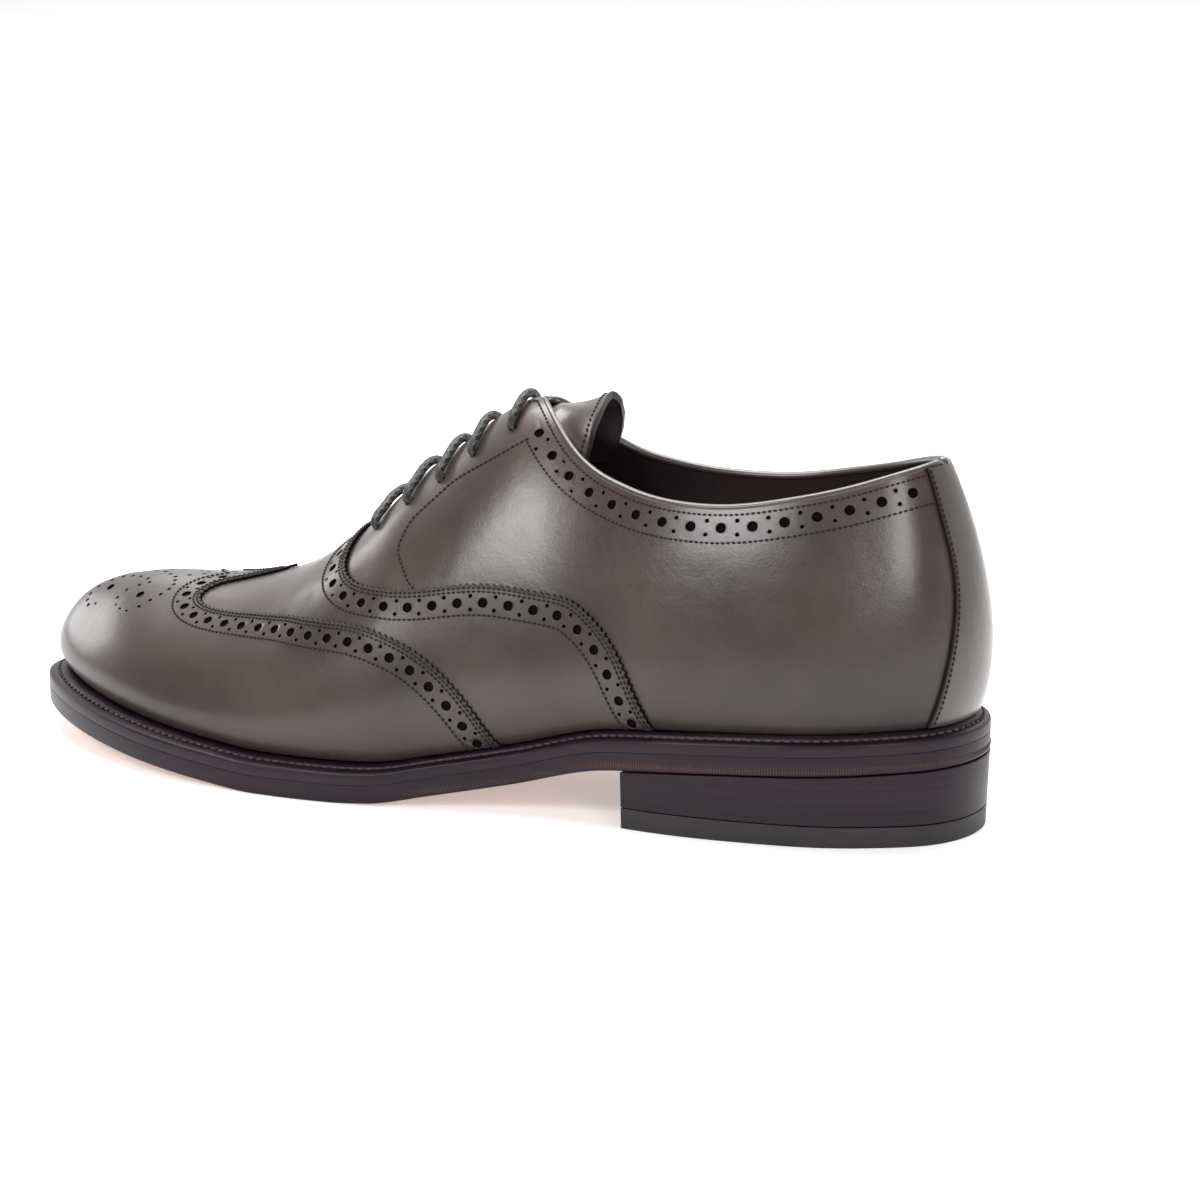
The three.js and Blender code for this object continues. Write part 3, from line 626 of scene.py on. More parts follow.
@dataclass(frozen=True)
class Lining:
    """Dark brown lining leather, matt and finely napped."""

    name: str = "lining_leather"
    light: Color = (44, 30, 31)
    dark: Color = (27, 19, 21)

    def build(self) -> bpy.types.Material:
        """Make the material."""
        shader = Shader(self.name)
        height = shader.math("ADD", shader.cells(0.0009), shader.noise(0.0006, 3))
        return shader.finish(
            Base_Color=shader.ramp(shader.noise(0.02, 3), linear(self.dark), linear(self.light)),
            Roughness=shader.spread(shader.noise(0.008), 0.55, 0.7),
            Normal=shader.bump(height, 0.00003),
        )


@dataclass(frozen=True)
class InkedEdgeHoleShade:
    """The inked cut edge of a panel, and the floor of a punched hole painted near black with little
    specular as painted shade of the hole's depth.
    """

    name: str = "cut_edge"
    light: Color = (15, 10, 12)
    dark: Color = (5, 3, 4)

    def build(self) -> bpy.types.Material:
        """Make the material."""
        shader = Shader(self.name)
        cloud = shader.noise(0.0006)
        return shader.finish(
            Base_Color=shader.ramp(cloud, linear(self.dark), linear(self.light), high=0.8),
            Roughness=0.8,
            Normal=shader.bump(shader.noise(0.0003), 0.00003),
            Specular_IOR_Level=0.06,
        )


@dataclass(frozen=True)
class EdgeWax:
    """Polished edge ink over stacked leather: dark purple-brown with faint level layers."""

    name: str = "edge_wax"
    light: Color = (32, 15, 28)
    dark: Color = (16, 7, 14)
    layer: float = 0.0011
    roughness: Pair = (0.38, 0.5)

    def build(self) -> bpy.types.Material:
        """Make the material."""
        shader = Shader(self.name)
        layers = shader.streaks((12, 12, 1 / self.layer), 3.0)
        fiber = shader.streaks((60, 60, 2600), 2.0)
        height = shader.math("ADD", layers, shader.math("MULTIPLY", fiber, 0.5))
        return shader.finish(
            Base_Color=shader.ramp(layers, linear(self.dark), linear(self.light), 0.32, 0.68),
            Roughness=shader.spread(layers, *self.roughness),
            Normal=shader.bump(height, 0.00006),
            Coat_Weight=0.05,
            Coat_Roughness=0.25,
            Specular_IOR_Level=0.25,
        )


@dataclass(frozen=True)
class SoleLeather:
    """Natural tan sole leather, brushed along the shoe."""

    name: str = "sole_leather"
    light: Color = (190, 132, 84)
    dark: Color = (152, 98, 60)

    def build(self) -> bpy.types.Material:
        """Make the material."""
        shader = Shader(self.name)
        along = shader.streaks((40, 260, 260), 4.0)
        height = shader.math("ADD", along, shader.noise(0.0007, 3))
        return shader.finish(
            Base_Color=shader.ramp(along, linear(self.dark), linear(self.light)),
            Roughness=shader.spread(along, 0.42, 0.6),
            Normal=shader.bump(height, 0.00005),
        )


@dataclass(frozen=True)
class TopPieceRubber:
    """Moulded black-brown rubber of the heel's top piece."""

    name: str = "top_piece_rubber"
    color: Color = (27, 19, 26)
    shade: float = 0.7

    def build(self) -> bpy.types.Material:
        """Make the material."""
        shader = Shader(self.name)
        base = linear(self.color)
        darker = tuple(self.shade * value for value in base)
        return shader.finish(
            Base_Color=shader.ramp(shader.noise(0.004, 3), darker, base),
            Roughness=shader.spread(shader.noise(0.006), 0.45, 0.6),
            Normal=shader.bump(shader.noise(0.0004, 3), 0.00003),
        )


@dataclass(frozen=True)
class WaxedCord:
    """Waxed cotton lace, its round braid drawn on the cord's own UV map, with painted shade in the
    grooves between the strands.
    """

    name: str = "waxed_cotton"
    light: Color = (50, 50, 48)
    dark: Color = (12, 13, 13)
    strands: int = 4

    def build(self) -> bpy.types.Material:
        """Make the material."""
        shader = Shader(self.name)
        split = shader.node("SeparateXYZ", {"Vector": shader.node("TexCoord").outputs["UV"]})
        around = shader.math("MULTIPLY", split.outputs[1], 2 * self.strands * math.pi)
        along = shader.math("MULTIPLY", split.outputs[0], 2 * math.pi)
        left, right = (
            shader.math("SINE", shader.math(kind, along, around), 0.0)
            for kind in ("ADD", "SUBTRACT")
        )
        # The braid's height drives the colour: painted shade in the grooves between the strands,
        # lighter on their tops
        share = shader.spread(shader.math("MAXIMUM", left, right), 0.0, 1.0)
        height = shader.math("ADD", share, shader.math("MULTIPLY", shader.noise(0.0002), 0.3))
        return shader.finish(
            Base_Color=shader.ramp(share, linear(self.dark), linear(self.light), 0.15, 0.95),
            Roughness=shader.spread(shader.noise(0.002), 0.38, 0.55),
            Normal=shader.bump(height, 0.00022),
            Coat_Weight=0.1,
            Coat_Roughness=0.3,
            Specular_IOR_Level=0.35,
        )


@dataclass(frozen=True)
class Thread:
    """Waxed sewing thread with its fine twist."""

    name: str = "thread"
    color: Color = (25, 28, 25)
    shade: float = 0.45

    def build(self) -> bpy.types.Material:
        """Make the material."""
        shader = Shader(self.name)
        base = linear(self.color)
        darker = tuple(self.shade * value for value in base)
        return shader.finish(
            Base_Color=shader.ramp(shader.noise(0.0005), darker, base),
            Roughness=shader.spread(shader.noise(0.001), 0.5, 0.65),
            Normal=shader.bump(shader.noise(0.00015), 0.00004),
            Specular_IOR_Level=0.2,
        )


@dataclass(frozen=True)
class StudioFloor:
    """The plain pale floor."""

    name: str = "studio_floor"
    color: float = 0.76
    glow: float = 0.36

    def build(self) -> bpy.types.Material:
        """Make the material."""
        shader = Shader(self.name)
        tone = (self.color, self.color, self.color)
        pale = tuple(min(1, value * 1.02) for value in tone)
        return shader.finish(
            Base_Color=shader.ramp(shader.noise(0.4), tone, pale),
            Roughness=0.6,
            Emission_Color=(1.0, 1.0, 1.0, 1.0),
            Emission_Strength=self.glow,
        )


class Finish(Enum):
    """The shoe's finishes, each with the record's slot that it stands for."""

    CALF = (Calf(), "calf")
    STRIP_CALF = (Calf("strip_calf", light=(68, 60, 56), dark=(50, 43, 40)), "calf")
    LINING = (Lining(), "lining")
    CUT = (InkedEdgeHoleShade(), "calf")
    EDGE = (EdgeWax(), "edge")
    SOLE = (SoleLeather(), "sole")
    RUBBER = (TopPieceRubber(), "top_piece")
    CORD = (WaxedCord(), "lace")
    THREAD = (Thread(), "calf")
    BEAD_THREAD = (Thread("bead_thread", color=(50, 20, 22)), "calf")
    # Brown welt thread, painted lighter than its dark brown-black as a painted highlight on the
    # stitch beads
    EDGE_THREAD = (Thread("welt_thread_painted_sheen", color=(84, 68, 70)), "edge")
    KNURL = (EdgeWax("knurl_wax", light=(84, 56, 48), dark=(40, 26, 30)), "edge")

    @property
    def slot(self) -> str:
        """Return the record's slot."""
        return self.value[1]

    @property
    def material(self) -> bpy.types.Material:
        """Return the material, made on first use."""
        known = bpy.data.materials.get(self.value[0].name)
        return known or self.value[0].build()


# Meshes


def add_object(name: str, data: bpy.types.ID) -> bpy.types.Object:
    """Return a new object in the scene that holds a mesh, a lamp or a camera."""
    piece = bpy.data.objects.new(name, data)
    bpy.context.scene.collection.objects.link(piece)
    return piece


def dress(piece: bpy.types.Object, nodes: Sequence[str] = ()) -> None:
    """Make a piece ride on the shoe and stand for CAD nodes, which are hidden."""
    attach(piece, "root")
    if nodes:
        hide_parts(*nodes)
    LOG.info("%s: %d faces", piece.name, len(piece.data.polygons))


def add_piece(
    mesh: bpy.types.Mesh, nodes: Sequence[str] = ()
) -> bpy.types.Object:
    """Return a mesh as a dressed piece of the shoe with the mesh's name."""
    piece = add_object(mesh.name, mesh)
    dress(piece, nodes)
    return piece


def make_mesh(
    name: str,
    points: Array,
    faces: Sequence,
    finishes: Sequence[Finish],
    picks: Array | None = None,
    edge_dark_and_shade: Array | None = None,
    crease: float = 40,
) -> bpy.types.Mesh:
    """Make a smooth-shaded mesh.

    Args:
        name: The mesh's name.
        points: The points in metres.
        faces: The faces as rings of point numbers.
        finishes: The finishes, in the order of the slots.
        picks: The number of each face's finish.
        edge_dark_and_shade: How much each point is darkened, along cut edges and by painted shade
            towards the welt and round the holes.
        crease: The angle in degrees past which an edge stays sharp.

    Returns:
        The mesh.
    """
    mesh = bpy.data.meshes.new(name)
    rings = [list(map(int, face)) for face in faces]
    mesh.from_pydata(np.asarray(points).tolist(), [], rings)
    for finish in finishes:
        mesh.materials.append(finish.material)
    if picks is not None:
        mesh.polygons.foreach_set("material_index", np.asarray(picks, np.int32))
    if edge_dark_and_shade is not None:
        layer = mesh.attributes.new("edge_dark_and_shade", "FLOAT", "POINT")
        layer.data.foreach_set("value", np.asarray(edge_dark_and_shade, np.float32))
    mesh.shade_smooth()
    mesh.set_sharp_from_angle(angle=math.radians(crease))
    mesh.update()
    return mesh


def weld(points: Array, fineness: float) -> tuple[Array, Array]:
    """Find points that coincide.

    Args:
        points: The points, one row each, in millimetres.
        fineness: The steps to the millimetre within which points are one.

    Returns:
        The numbers of the points to keep, and which of them each point becomes.
    """
    keys = np.round(points * fineness + 0.123).astype(np.int64)
    _, first, back = np.unique(keys, axis=0, return_index=True, return_inverse=True)
    return first, back.reshape(-1)


def clean_ring(quad: Sequence[int]) -> list[int]:
    """Return a quad without its doubled points, or nothing where no face is left."""
    ring = [quad[k] for k in range(4) if quad[k] != quad[k - 1]]
    return ring if len(ring) > 2 and len(set(ring)) == len(ring) else []


def skin(rows: int, size: int, closed: bool = False) -> list[list[int]]:
    """Return the quads over rows of points, each row a ring; the rows too, where closed."""
    faces = []
    for i in range(rows if closed else rows - 1):
        j = (i + 1) % rows
        for k in range(size):
            m = (k + 1) % size
            faces.append([i * size + k, i * size + m, j * size + m, j * size + k])
    return faces

@dataclass
class Lattice:
    """Rows and columns of points on a sheet's outer face, each with its inner point."""

    outer: Array
    inner: Array
    flip: bool
    edge_dark_and_shade: Array
    punches: list = field(default_factory=list)


@dataclass
class Punch:
    """A hole punched into a sheet's outer face, in millimetres."""

    centre: Array
    axis: Array
    radius: float
    depth: float

    def block(self, points: Array, taken: Array) -> tuple[int, int, int, int] | None:
        """Find the block of a lattice's quads that the hole takes.

        Args:
            points: The lattice's outer points.
            taken: Which quads other holes have.

        Returns:
            The first and last row and column, or nothing where there is no room.
        """
        away = points - self.centre
        flat = np.linalg.norm(away - (away @ self.axis)[..., None] * self.axis, axis=-1)
        flat = np.where(np.linalg.norm(away, axis=-1) > 4 * self.radius + 4, 99.0, flat)
        row, column = np.unravel_index(np.argmin(flat), flat.shape)
        need = self.radius * HOLE_ROOM[0] + HOLE_ROOM[1]
        box = [row - 1, row + 1, column - 1, column + 1]
        limit = (flat.shape[0] - 1, flat.shape[1] - 1)
        for _ in range(BLOCK_STEPS):
            if box[0] < 1 or box[2] < 1 or box[1] >= limit[0] or box[3] >= limit[1]:
                return None
            part = flat[box[0] : box[1] + 1, box[2] : box[3] + 1]
            close = [part[0].min(), part[-1].min(), part[:, 0].min(), part[:, -1].min()]
            tight = [k for k in range(4) if close[k] < need]
            if not tight:
                break
            for k in tight:
                box[k] += 1 if k % 2 else -1
        if taken[box[0] : box[1], box[2] : box[3]].any():
            return None
        return tuple(box)

    def placed(self, points: Array, taken: Array) -> tuple["Punch", tuple | None]:
        """Return the hole, moved a little if its own place has no room, and its block."""
        block = self.block(points, taken)
        if block is not None or self.radius > 1:
            return self, block
        first = unit(np.cross(self.axis, ASKEW))
        second = np.cross(self.axis, first)
        for reach in HOLE_MOVES:
            for turn in np.arange(8) * math.pi / 4:
                aside = reach * (math.cos(turn) * first + math.sin(turn) * second)
                moved = Punch(self.centre + aside, self.axis, self.radius, self.depth)
                block = moved.block(points, taken)
                if block is not None:
                    return moved, block
        return self, None


@dataclass
class SheetFaces:
    """Gathers a sheet's outer face: its points, rings and what they carry."""

    points: list
    edge_dark_and_shade: list
    rings: list = field(default_factory=list)
    picks: list = field(default_factory=list)

    def ring_points(self, centre: Array, rows: Array, edge_dark_and_shade: float) -> list[int]:
        """Add a ring of points and return their numbers."""
        start = len(self.points)
        self.points.extend(centre + rows)
        self.edge_dark_and_shade.extend([edge_dark_and_shade] * len(rows))
        return list(range(start, start + len(rows)))

    def band(self, outside: list[int], inside: list[int], pick: int, flip: bool) -> None:
        """Add the quads between two rings."""
        for k in range(len(outside)):
            ring = [outside[k - 1], outside[k], inside[k], inside[k - 1]]
            self.rings.append(ring[::-1] if flip else ring)
            self.picks.append(pick)

    def punch(self, hole: Punch, border: list[int], flip: bool) -> None:
        """Close a block round a hole.

        Args:
            hole: The hole.
            border: The block's border, in the order of its quads.
            flip: Whether the lattice's quads are turned over.
        """
        away = np.array([self.points[k] for k in border]) - hole.centre
        height = away @ hole.axis
        flat = away - height[:, None] * hole.axis
        first = unit(np.cross(hole.axis, ASKEW))
        second = np.cross(hole.axis, first)
        turn = np.unwrap(np.arctan2(flat @ second, flat @ first))
        count = len(border)
        even = np.arange(count) * np.sign(turn[-1] - turn[0]) * 2 * math.pi / count
        turn = 0.35 * turn + 0.65 * (even + (turn - even).mean())
        around = np.cos(turn)[:, None] * first + np.sin(turn)[:, None] * second
        reach = np.linalg.norm(flat, axis=1)
        sag = height * np.minimum(hole.radius / reach, 1) ** 2
        lip = 0.08 + 0.04 * hole.radius
        outside = border
        # The lip rings darken into the hole as painted shade, and the floor takes the near-black
        # cut finish
        for radius, drop, edge_dark_and_shade, pick in (
            (hole.radius + lip, 0.0, 0.12, FACE),
            (hole.radius + 0.02, lip * 0.75, 0.6, FACE),
            (hole.radius * 0.95, hole.depth, 1.0, CUT),
        ):
            rows = around * radius + (sag - drop)[:, None] * hole.axis
            inside = self.ring_points(hole.centre, rows, edge_dark_and_shade)
            self.band(outside, inside, pick, flip)
            outside = inside
        self.rings.append(outside[::-1] if flip else outside)
        self.picks.append(CUT)


def closed_sheet(
    name: str,
    last: Last,
    lattices: Sequence[Lattice],
    finishes: Sequence[Finish],
    wall_pick: int = FACE,
) -> bpy.types.Mesh:
    """Join lattices into one closed sheet with a thickness.

    Args:
        name: The mesh's name.
        last: The last, for its frame.
        lattices: The lattices, in millimetres, which meet where points are shared.
        finishes: The outer face's finish, the inner face's and the cut edge's.
        wall_pick: Which of them the edge takes.

    Returns:
        The mesh.
    """
    outer = np.concatenate([lattice.outer.reshape(-1, 3) for lattice in lattices])
    inner = np.concatenate([lattice.inner.reshape(-1, 3) for lattice in lattices])
    edge_dark_and_shade = np.concatenate([lattice.edge_dark_and_shade.ravel() for lattice in lattices])
    first, back = weld(outer, 200)
    inner = inner[first]
    face = SheetFaces(list(outer[first]), list(edge_dark_and_shade[first]))
    under, edges = [], {}
    start = lost = 0
    for lattice in lattices:
        rows, columns = lattice.outer.shape[:2]
        index = back[start : start + rows * columns].reshape(rows, columns)
        start += rows * columns
        taken = np.zeros((rows - 1, columns - 1), bool)
        for hole in lattice.punches:
            hole, block = hole.placed(lattice.outer, taken)
            if block is None:
                lost += 1
                continue
            top, bottom, left, right = block
            taken[top:bottom, left:right] = True
            border = list(index[top:bottom, left]) + list(index[bottom, left:right])
            border += list(index[bottom:top:-1, right]) + list(index[top, right:left:-1])
            face.punch(hole, [int(k) for k in border], lattice.flip)
        corners = [index[:-1, :-1], index[1:, :-1], index[1:, 1:], index[:-1, 1:]]
        quads = np.stack([part.ravel() for part in corners], 1)
        if lattice.flip:
            quads = quads[:, ::-1]
        for quad, cut in zip(quads.tolist(), taken.ravel().tolist()):
            ring = clean_ring(quad)
            if not ring:
                continue
            under.append(ring)
            for k, point in enumerate(ring):
                edges[(ring[k - 1], point)] = True
            if not cut:
                face.rings.append(ring)
                face.picks.append(FACE)
    count = len(face.points)
    borders = [(a, b) for a, b in edges if (b, a) not in edges]
    rings = face.rings + [[point + count for point in reversed(ring)] for ring in under]
    rings += [[b, a, a + count, b + count] for a, b in borders]
    picks = face.picks + [BACK] * len(under) + [wall_pick] * len(borders)
    points = last.to_world(np.concatenate([np.array(face.points), inner]))
    carried = np.concatenate([face.edge_dark_and_shade, np.array(face.edge_dark_and_shade)[: len(inner)]])
    if lost:
        LOG.info("%s: no room for %d holes", name, lost)
    return make_mesh(name, points, rings, finishes, picks, carried)


def tube(centres: Array, across: Array, upward: Array, profile: Array) -> tuple[Array, list]:
    """Sweep a profile along a line.

    Args:
        centres: The line's points.
        across: Directions of the profile's first column at each point.
        upward: Directions of its second column.
        profile: The profile's points, anticlockwise, one row each.

    Returns:
        The points and the faces.
    """
    count, size = len(centres), len(profile)
    offsets = across[:, None] * profile[None, :, :1] + upward[:, None] * profile[None, :, 1:]
    points = (centres[:, None] + offsets).reshape(-1, 3)
    ends = [list(range(size))[::-1], [(count - 1) * size + k for k in range(size)]]
    return points, skin(count, size) + ends


def right_side_out(mesh: bpy.types.Mesh) -> bpy.types.Mesh:
    """Return a closed mesh with its faces turned outwards."""
    mesh.update()
    mesh.calc_loop_triangles()
    corners = np.empty(len(mesh.loop_triangles) * 3, np.int32)
    mesh.loop_triangles.foreach_get("vertices", corners)
    points = np.empty(len(mesh.vertices) * 3)
    mesh.vertices.foreach_get("co", points)
    a, b, c = points.reshape(-1, 3)[corners.reshape(-1, 3)].transpose(1, 0, 2)
    if np.einsum("ij,ij->i", a, np.cross(b, c)).sum() < 0:
        mesh.flip_normals()
    return mesh


def run_lengths(points: Array) -> Array:
    """Return the length run at each point of a line."""
    steps = np.linalg.norm(np.diff(points, axis=0), axis=1)
    return np.concatenate([[0], np.cumsum(steps)])


@dataclass
class SurfaceLine:
    """A line drawn on one side of the last, by rib angles and girth shares."""

    last: Last
    side: Side
    angle: Array
    girth: Array

    def points(self, lift: Array = 0.0) -> Array:
        """Return the line's points at a lift over the upper."""
        return self.last.on_upper(self.angle, self.girth, self.side, lift)

    def normals(self) -> Array:
        """Return the directions away from the last."""
        return self.last.normal(self.angle, self.girth, self.side)

    def lengths(self) -> Array:
        """Return the length run at each point."""
        return run_lengths(self.points())

    def moved(self, angle: Array, girth: Array) -> "SurfaceLine":
        """Return another line on the same side."""
        return SurfaceLine(self.last, self.side, angle, girth)

    def part(self, keep: Array | slice) -> "SurfaceLine":
        """Return the line's points that a mask or a slice keeps."""
        return self.moved(self.angle[keep], self.girth[keep])

    def at(self, places: Array) -> "SurfaceLine":
        """Return the line at given lengths along it."""
        run = self.lengths()
        return self.moved(np.interp(places, run, self.angle), np.interp(places, run, self.girth))

    def spaced(self, pitch: float) -> "SurfaceLine":
        """Return even steps along the line, about a pitch apart."""
        total = self.lengths()[-1]
        return self.at(np.linspace(0, total, max(2, round(total / pitch) + 1)))

    def sideways(self) -> Array:
        """Return the steps in angle and girth that move a point 1 mm square to the line."""
        points = self.points()
        tangent = unit(np.gradient(points, axis=0))
        goal = -self.side.value * np.cross(self.normals(), tangent)
        step = 1e-3
        low, high = np.clip(self.angle - step, 0, math.pi), np.clip(self.angle + step, 0, math.pi)
        along = self.last.point(high, self.girth, self.side)
        along = (along - self.last.point(low, self.girth, self.side)) / (high - low)[:, None]
        low, high = np.clip(self.girth - step, 0, 1), np.clip(self.girth + step, 0, 1)
        upward = self.last.point(self.angle, high, self.side)
        upward = (upward - self.last.point(self.angle, low, self.side)) / (high - low)[:, None]

        def dot(a: Array, b: Array) -> Array:
            """Return the products of pairs of vectors."""
            return (a * b).sum(-1)

        aa, uu, au = dot(along, along), dot(upward, upward), dot(along, upward)
        ga, gu = dot(goal, along), dot(goal, upward)
        scale = np.maximum(aa * uu - au * au, 1e-9)
        return np.stack([(ga * uu - gu * au) / scale, (gu * aa - ga * au) / scale], -1)

    def offset(self, distance: float) -> "SurfaceLine":
        """Return a line beside this one, towards the toe or down where positive.

        Args:
            distance: How far, in millimetres.

        Returns:
            The new line, cut where it leaves the side and carried on to the feather line.
        """
        line = self
        count = max(1, math.ceil(abs(distance) / OFFSET_STEP))
        for _ in range(count):
            move = line.sideways() * distance / count
            angle = np.clip(line.angle + move[:, 0], 0, math.pi)
            girth = np.clip(line.girth + move[:, 1], 0, 1)
            line = line.moved(angle, girth).trimmed()
            run = line.lengths()
            line = line.at(np.linspace(0, run[-1], max(8, len(line.angle))))
        return line

    def trimmed(self) -> "SurfaceLine":
        """Return the line without the parts that are pressed against the crest or feather."""
        inside = np.flatnonzero((self.girth > 0.002) & (self.girth < 0.9995))
        return self.part(slice(max(inside[0] - 1, 0), min(inside[-1] + 2, len(self.girth))))


def seam_line(last: Last, side: Side, table: dict, count: int = 500) -> SurfaceLine:
    """Return the line of a seam's table, from the feather line up."""
    girth = np.linspace(0, 1, count)
    stations = share_curve(table, "up", "at")(girth)
    return SurfaceLine(last, side, angle_of(stations), girth)


def collar_line(last: Last, side: Side, inset: float = 0, count: int = 500) -> SurfaceLine:
    """Return the collar's edge from the back of the heel to the throat."""
    angle = np.linspace(0.06, float(angle_of(COLLAR["at"][-1])), count)
    line = SurfaceLine(last, Side.OUTER, angle, last.top_up(angle, Side.OUTER))
    line = line.offset(inset) if inset else line
    return SurfaceLine(last, side, line.angle, line.girth)


# What repeats in rows, made by a node tree


class Tree(Nodes):
    """Builds a geometry node tree by short calls."""

    def __init__(self, name: str, sizes: Sequence[str]) -> None:
        """Make the tree with its way in and out, its named sizes and its material."""
        super().__init__(bpy.data.node_groups.new(name, "GeometryNodeTree"))
        sockets = [("Geometry", "INPUT", "Geometry"), ("Geometry", "OUTPUT", "Geometry")]
        sockets += [(size, "INPUT", "Float") for size in sizes]
        sockets.append(("Material", "INPUT", "Material"))
        for title, way, kind in sockets:
            self.tree.interface.new_socket(title, in_out=way, socket_type="NodeSocket" + kind)
        self.way_in = self.node("NodeGroupInput")
        self.way_out = self.node("NodeGroupOutput")

    def input(self, name: str) -> bpy.types.NodeSocket:
        """Return one of the tree's own inputs."""
        return self.way_in.outputs[name]

    def finish(self, geometry: bpy.types.NodeSocket) -> None:
        """Realize the copies, give them the tree's material, and send them out."""
        real = self.node("GeometryNodeRealizeInstances", {"Geometry": geometry})
        inputs = {"Geometry": real.outputs[0], "Material": self.input("Material")}
        painted = self.node("GeometryNodeSetMaterial", inputs)
        self.set(self.way_out.inputs[0], painted.outputs[0])

    def run(self, piece: bpy.types.Object, values: dict[str, object]) -> None:
        """Replace an object's mesh by what the tree makes of it.

        Args:
            piece: The object.
            values: The tree's inputs by name.
        """
        modifier = piece.modifiers.new(self.tree.name, "NODES")
        modifier.node_group = self.tree
        for item in self.tree.interface.items_tree:
            if item.in_out == "INPUT" and item.name in values:
                modifier[item.identifier] = values[item.name]
        piece.update_tag()
        bpy.context.view_layer.update()
        graph = bpy.context.evaluated_depsgraph_get()
        made = bpy.data.meshes.new_from_object(piece.evaluated_get(graph))
        piece.modifiers.clear()
        old = piece.data
        piece.data = made
        made.name = piece.name
        bpy.data.meshes.remove(old)


def row_tree(rings: int, smooth: bool) -> Tree:
    """Return the tree that lays small round bodies along lines.

    Args:
        rings: How many rings a body has.
        smooth: Whether it is shaded smooth.

    Returns:
        The tree, with the pitch and the body's three sides as inputs.
    """
    tree = Tree("rows", ("Pitch", "Length", "Width", "Height"))
    curve = tree.node("GeometryNodeMeshToCurve", {"Mesh": tree.input("Geometry")})
    even = tree.node(
        "GeometryNodeResampleCurve",
        {"Curve": curve.outputs[0], "Length": tree.input("Pitch")},
        mode="LENGTH",
    )
    tangent = tree.node("GeometryNodeInputTangent")
    facing = tree.node(
        "GeometryNodeInputNamedAttribute", {"Name": "facing"}, data_type="FLOAT_VECTOR"
    )
    turned = tree.node(
        "FunctionNodeAxesToRotation",
        {"Primary Axis": facing.outputs["Attribute"], "Secondary Axis": tangent.outputs[0]},
        primary_axis="Z",
        secondary_axis="X",
    )
    body = tree.node("GeometryNodeMeshUVSphere", {"Segments": 6, "Rings": rings, "Radius": 0.5})
    sides = tree.node(
        "ShaderNodeCombineXYZ",
        {"X": tree.input("Length"), "Y": tree.input("Width"), "Z": tree.input("Height")},
    )
    shaped = tree.node(
        "GeometryNodeTransform", {"Geometry": body.outputs[0], "Scale": sides.outputs[0]}
    )
    if smooth:
        shaped = tree.node("GeometryNodeSetShadeSmooth", {"Geometry": shaped.outputs[0]})
    placed = tree.node(
        "GeometryNodeInstanceOnPoints",
        {"Points": even.outputs[0], "Instance": shaped.outputs[0],
         "Rotation": turned.outputs[0]},
    )
    tree.finish(placed.outputs[0])
    return tree


@dataclass
class Stitching:
    """Gathers lines and lays a row of small bodies along each, as one piece."""

    last: Last
    name: str
    finish: Finish
    pitch: float = 1.55
    sides: Triple = (1.35, 0.76, 0.76)
    rings: int = 5
    smooth: bool = True
    lines: list = field(default_factory=list)

    def add(self, line: SurfaceLine, lift: float) -> None:
        """Add a line drawn on the last, at a lift over the upper."""
        fine = line.spaced(0.8) if np.ndim(lift) == 0 else line
        self.add_points(fine.points(lift), fine.normals())

    def add_points(self, points: Array, normals: Array) -> None:
        """Add a line given by its points in millimetres and the directions off the leather."""
        self.lines.append((points, normals))

    def sew(self) -> bpy.types.Object:
        """Lay the rows and return them as one piece."""
        points = self.last.to_world(np.concatenate([line[0] for line in self.lines]))
        facing = np.concatenate([line[1] for line in self.lines])
        edges = []
        start = 0
        for line, _ in self.lines:
            edges += [(start + k, start + k + 1) for k in range(len(line) - 1)]
            start += len(line)
        mesh = bpy.data.meshes.new(self.name)
        mesh.from_pydata(points.tolist(), edges, [])
        layer = mesh.attributes.new("facing", "FLOAT_VECTOR", "POINT")
        layer.data.foreach_set("vector", np.asarray(facing, np.float32).ravel())
        piece = add_object(self.name, mesh)
        sizes = zip(("Pitch", "Length", "Width", "Height"), (self.pitch, *self.sides))
        values = {name: size / 1000 for name, size in sizes}
        row_tree(self.rings, self.smooth).run(piece, {**values, "Material": self.finish.material})
        dress(piece)
        return piece


@dataclass
class Punching:
    """Gathers a panel's punched holes, side by side."""

    last: Last
    depth: float = 0.85
    big: float = 1.42
    small: float = 0.55
    spread: float = 1.95
    holes: dict = field(default_factory=lambda: {side: [] for side in Side})

    def add(
        self, line: SurfaceLine, lift: float, radius: float, depth: float | None = None
    ) -> None:
        """Add a hole at each point of a line, of the usual depth where none is given."""
        for centre, axis in zip(line.points(lift), line.normals()):
            self.holes[line.side].append(Punch(centre, axis, radius, depth or self.depth))

    def band(self, centre: SurfaceLine, lift: float, pitch: float, ends: Pair) -> None:
        """Add a row of big holes with pairs of pinholes between them.

        Args:
            centre: The band's middle line.
            lift: The panel's top over the upper.
            pitch: From one big hole to the next.
            ends: How much is left bare at the line's start and end.
        """
        run = centre.lengths()[-1]
        count = max(2, round((run - ends[0] - ends[1]) / pitch) + 1)
        places = np.linspace(ends[0], run - ends[1], count)
        self.add(centre.at(places), lift, self.big)
        dense = centre.spaced(0.5)
        step = dense.sideways()
        at = np.interp((places[:-1] + places[1:]) / 2, dense.lengths(), np.arange(len(step)))
        at = np.round(at).astype(int)
        for sign in (-1, 1):
            move = sign * self.spread * step[at]
            angle = np.clip(dense.angle[at] + move[:, 0], 0, math.pi)
            girth = np.clip(dense.girth[at] + move[:, 1], 0, 1)
            self.add(centre.moved(angle, girth), lift, self.small)


# The upper


def shade_towards_welt(girth: Array) -> Array:
    """Return how much painted shade darkens the leather towards the welt: a broad fade over the
    lower side and a narrow dark band at the feather line.
    """
    broad = 0.4 * np.clip(1 - girth / 0.3, 0, 1) ** 1.3
    return np.maximum(broad, 0.6 * np.clip(1 - girth / 0.035, 0, 1))


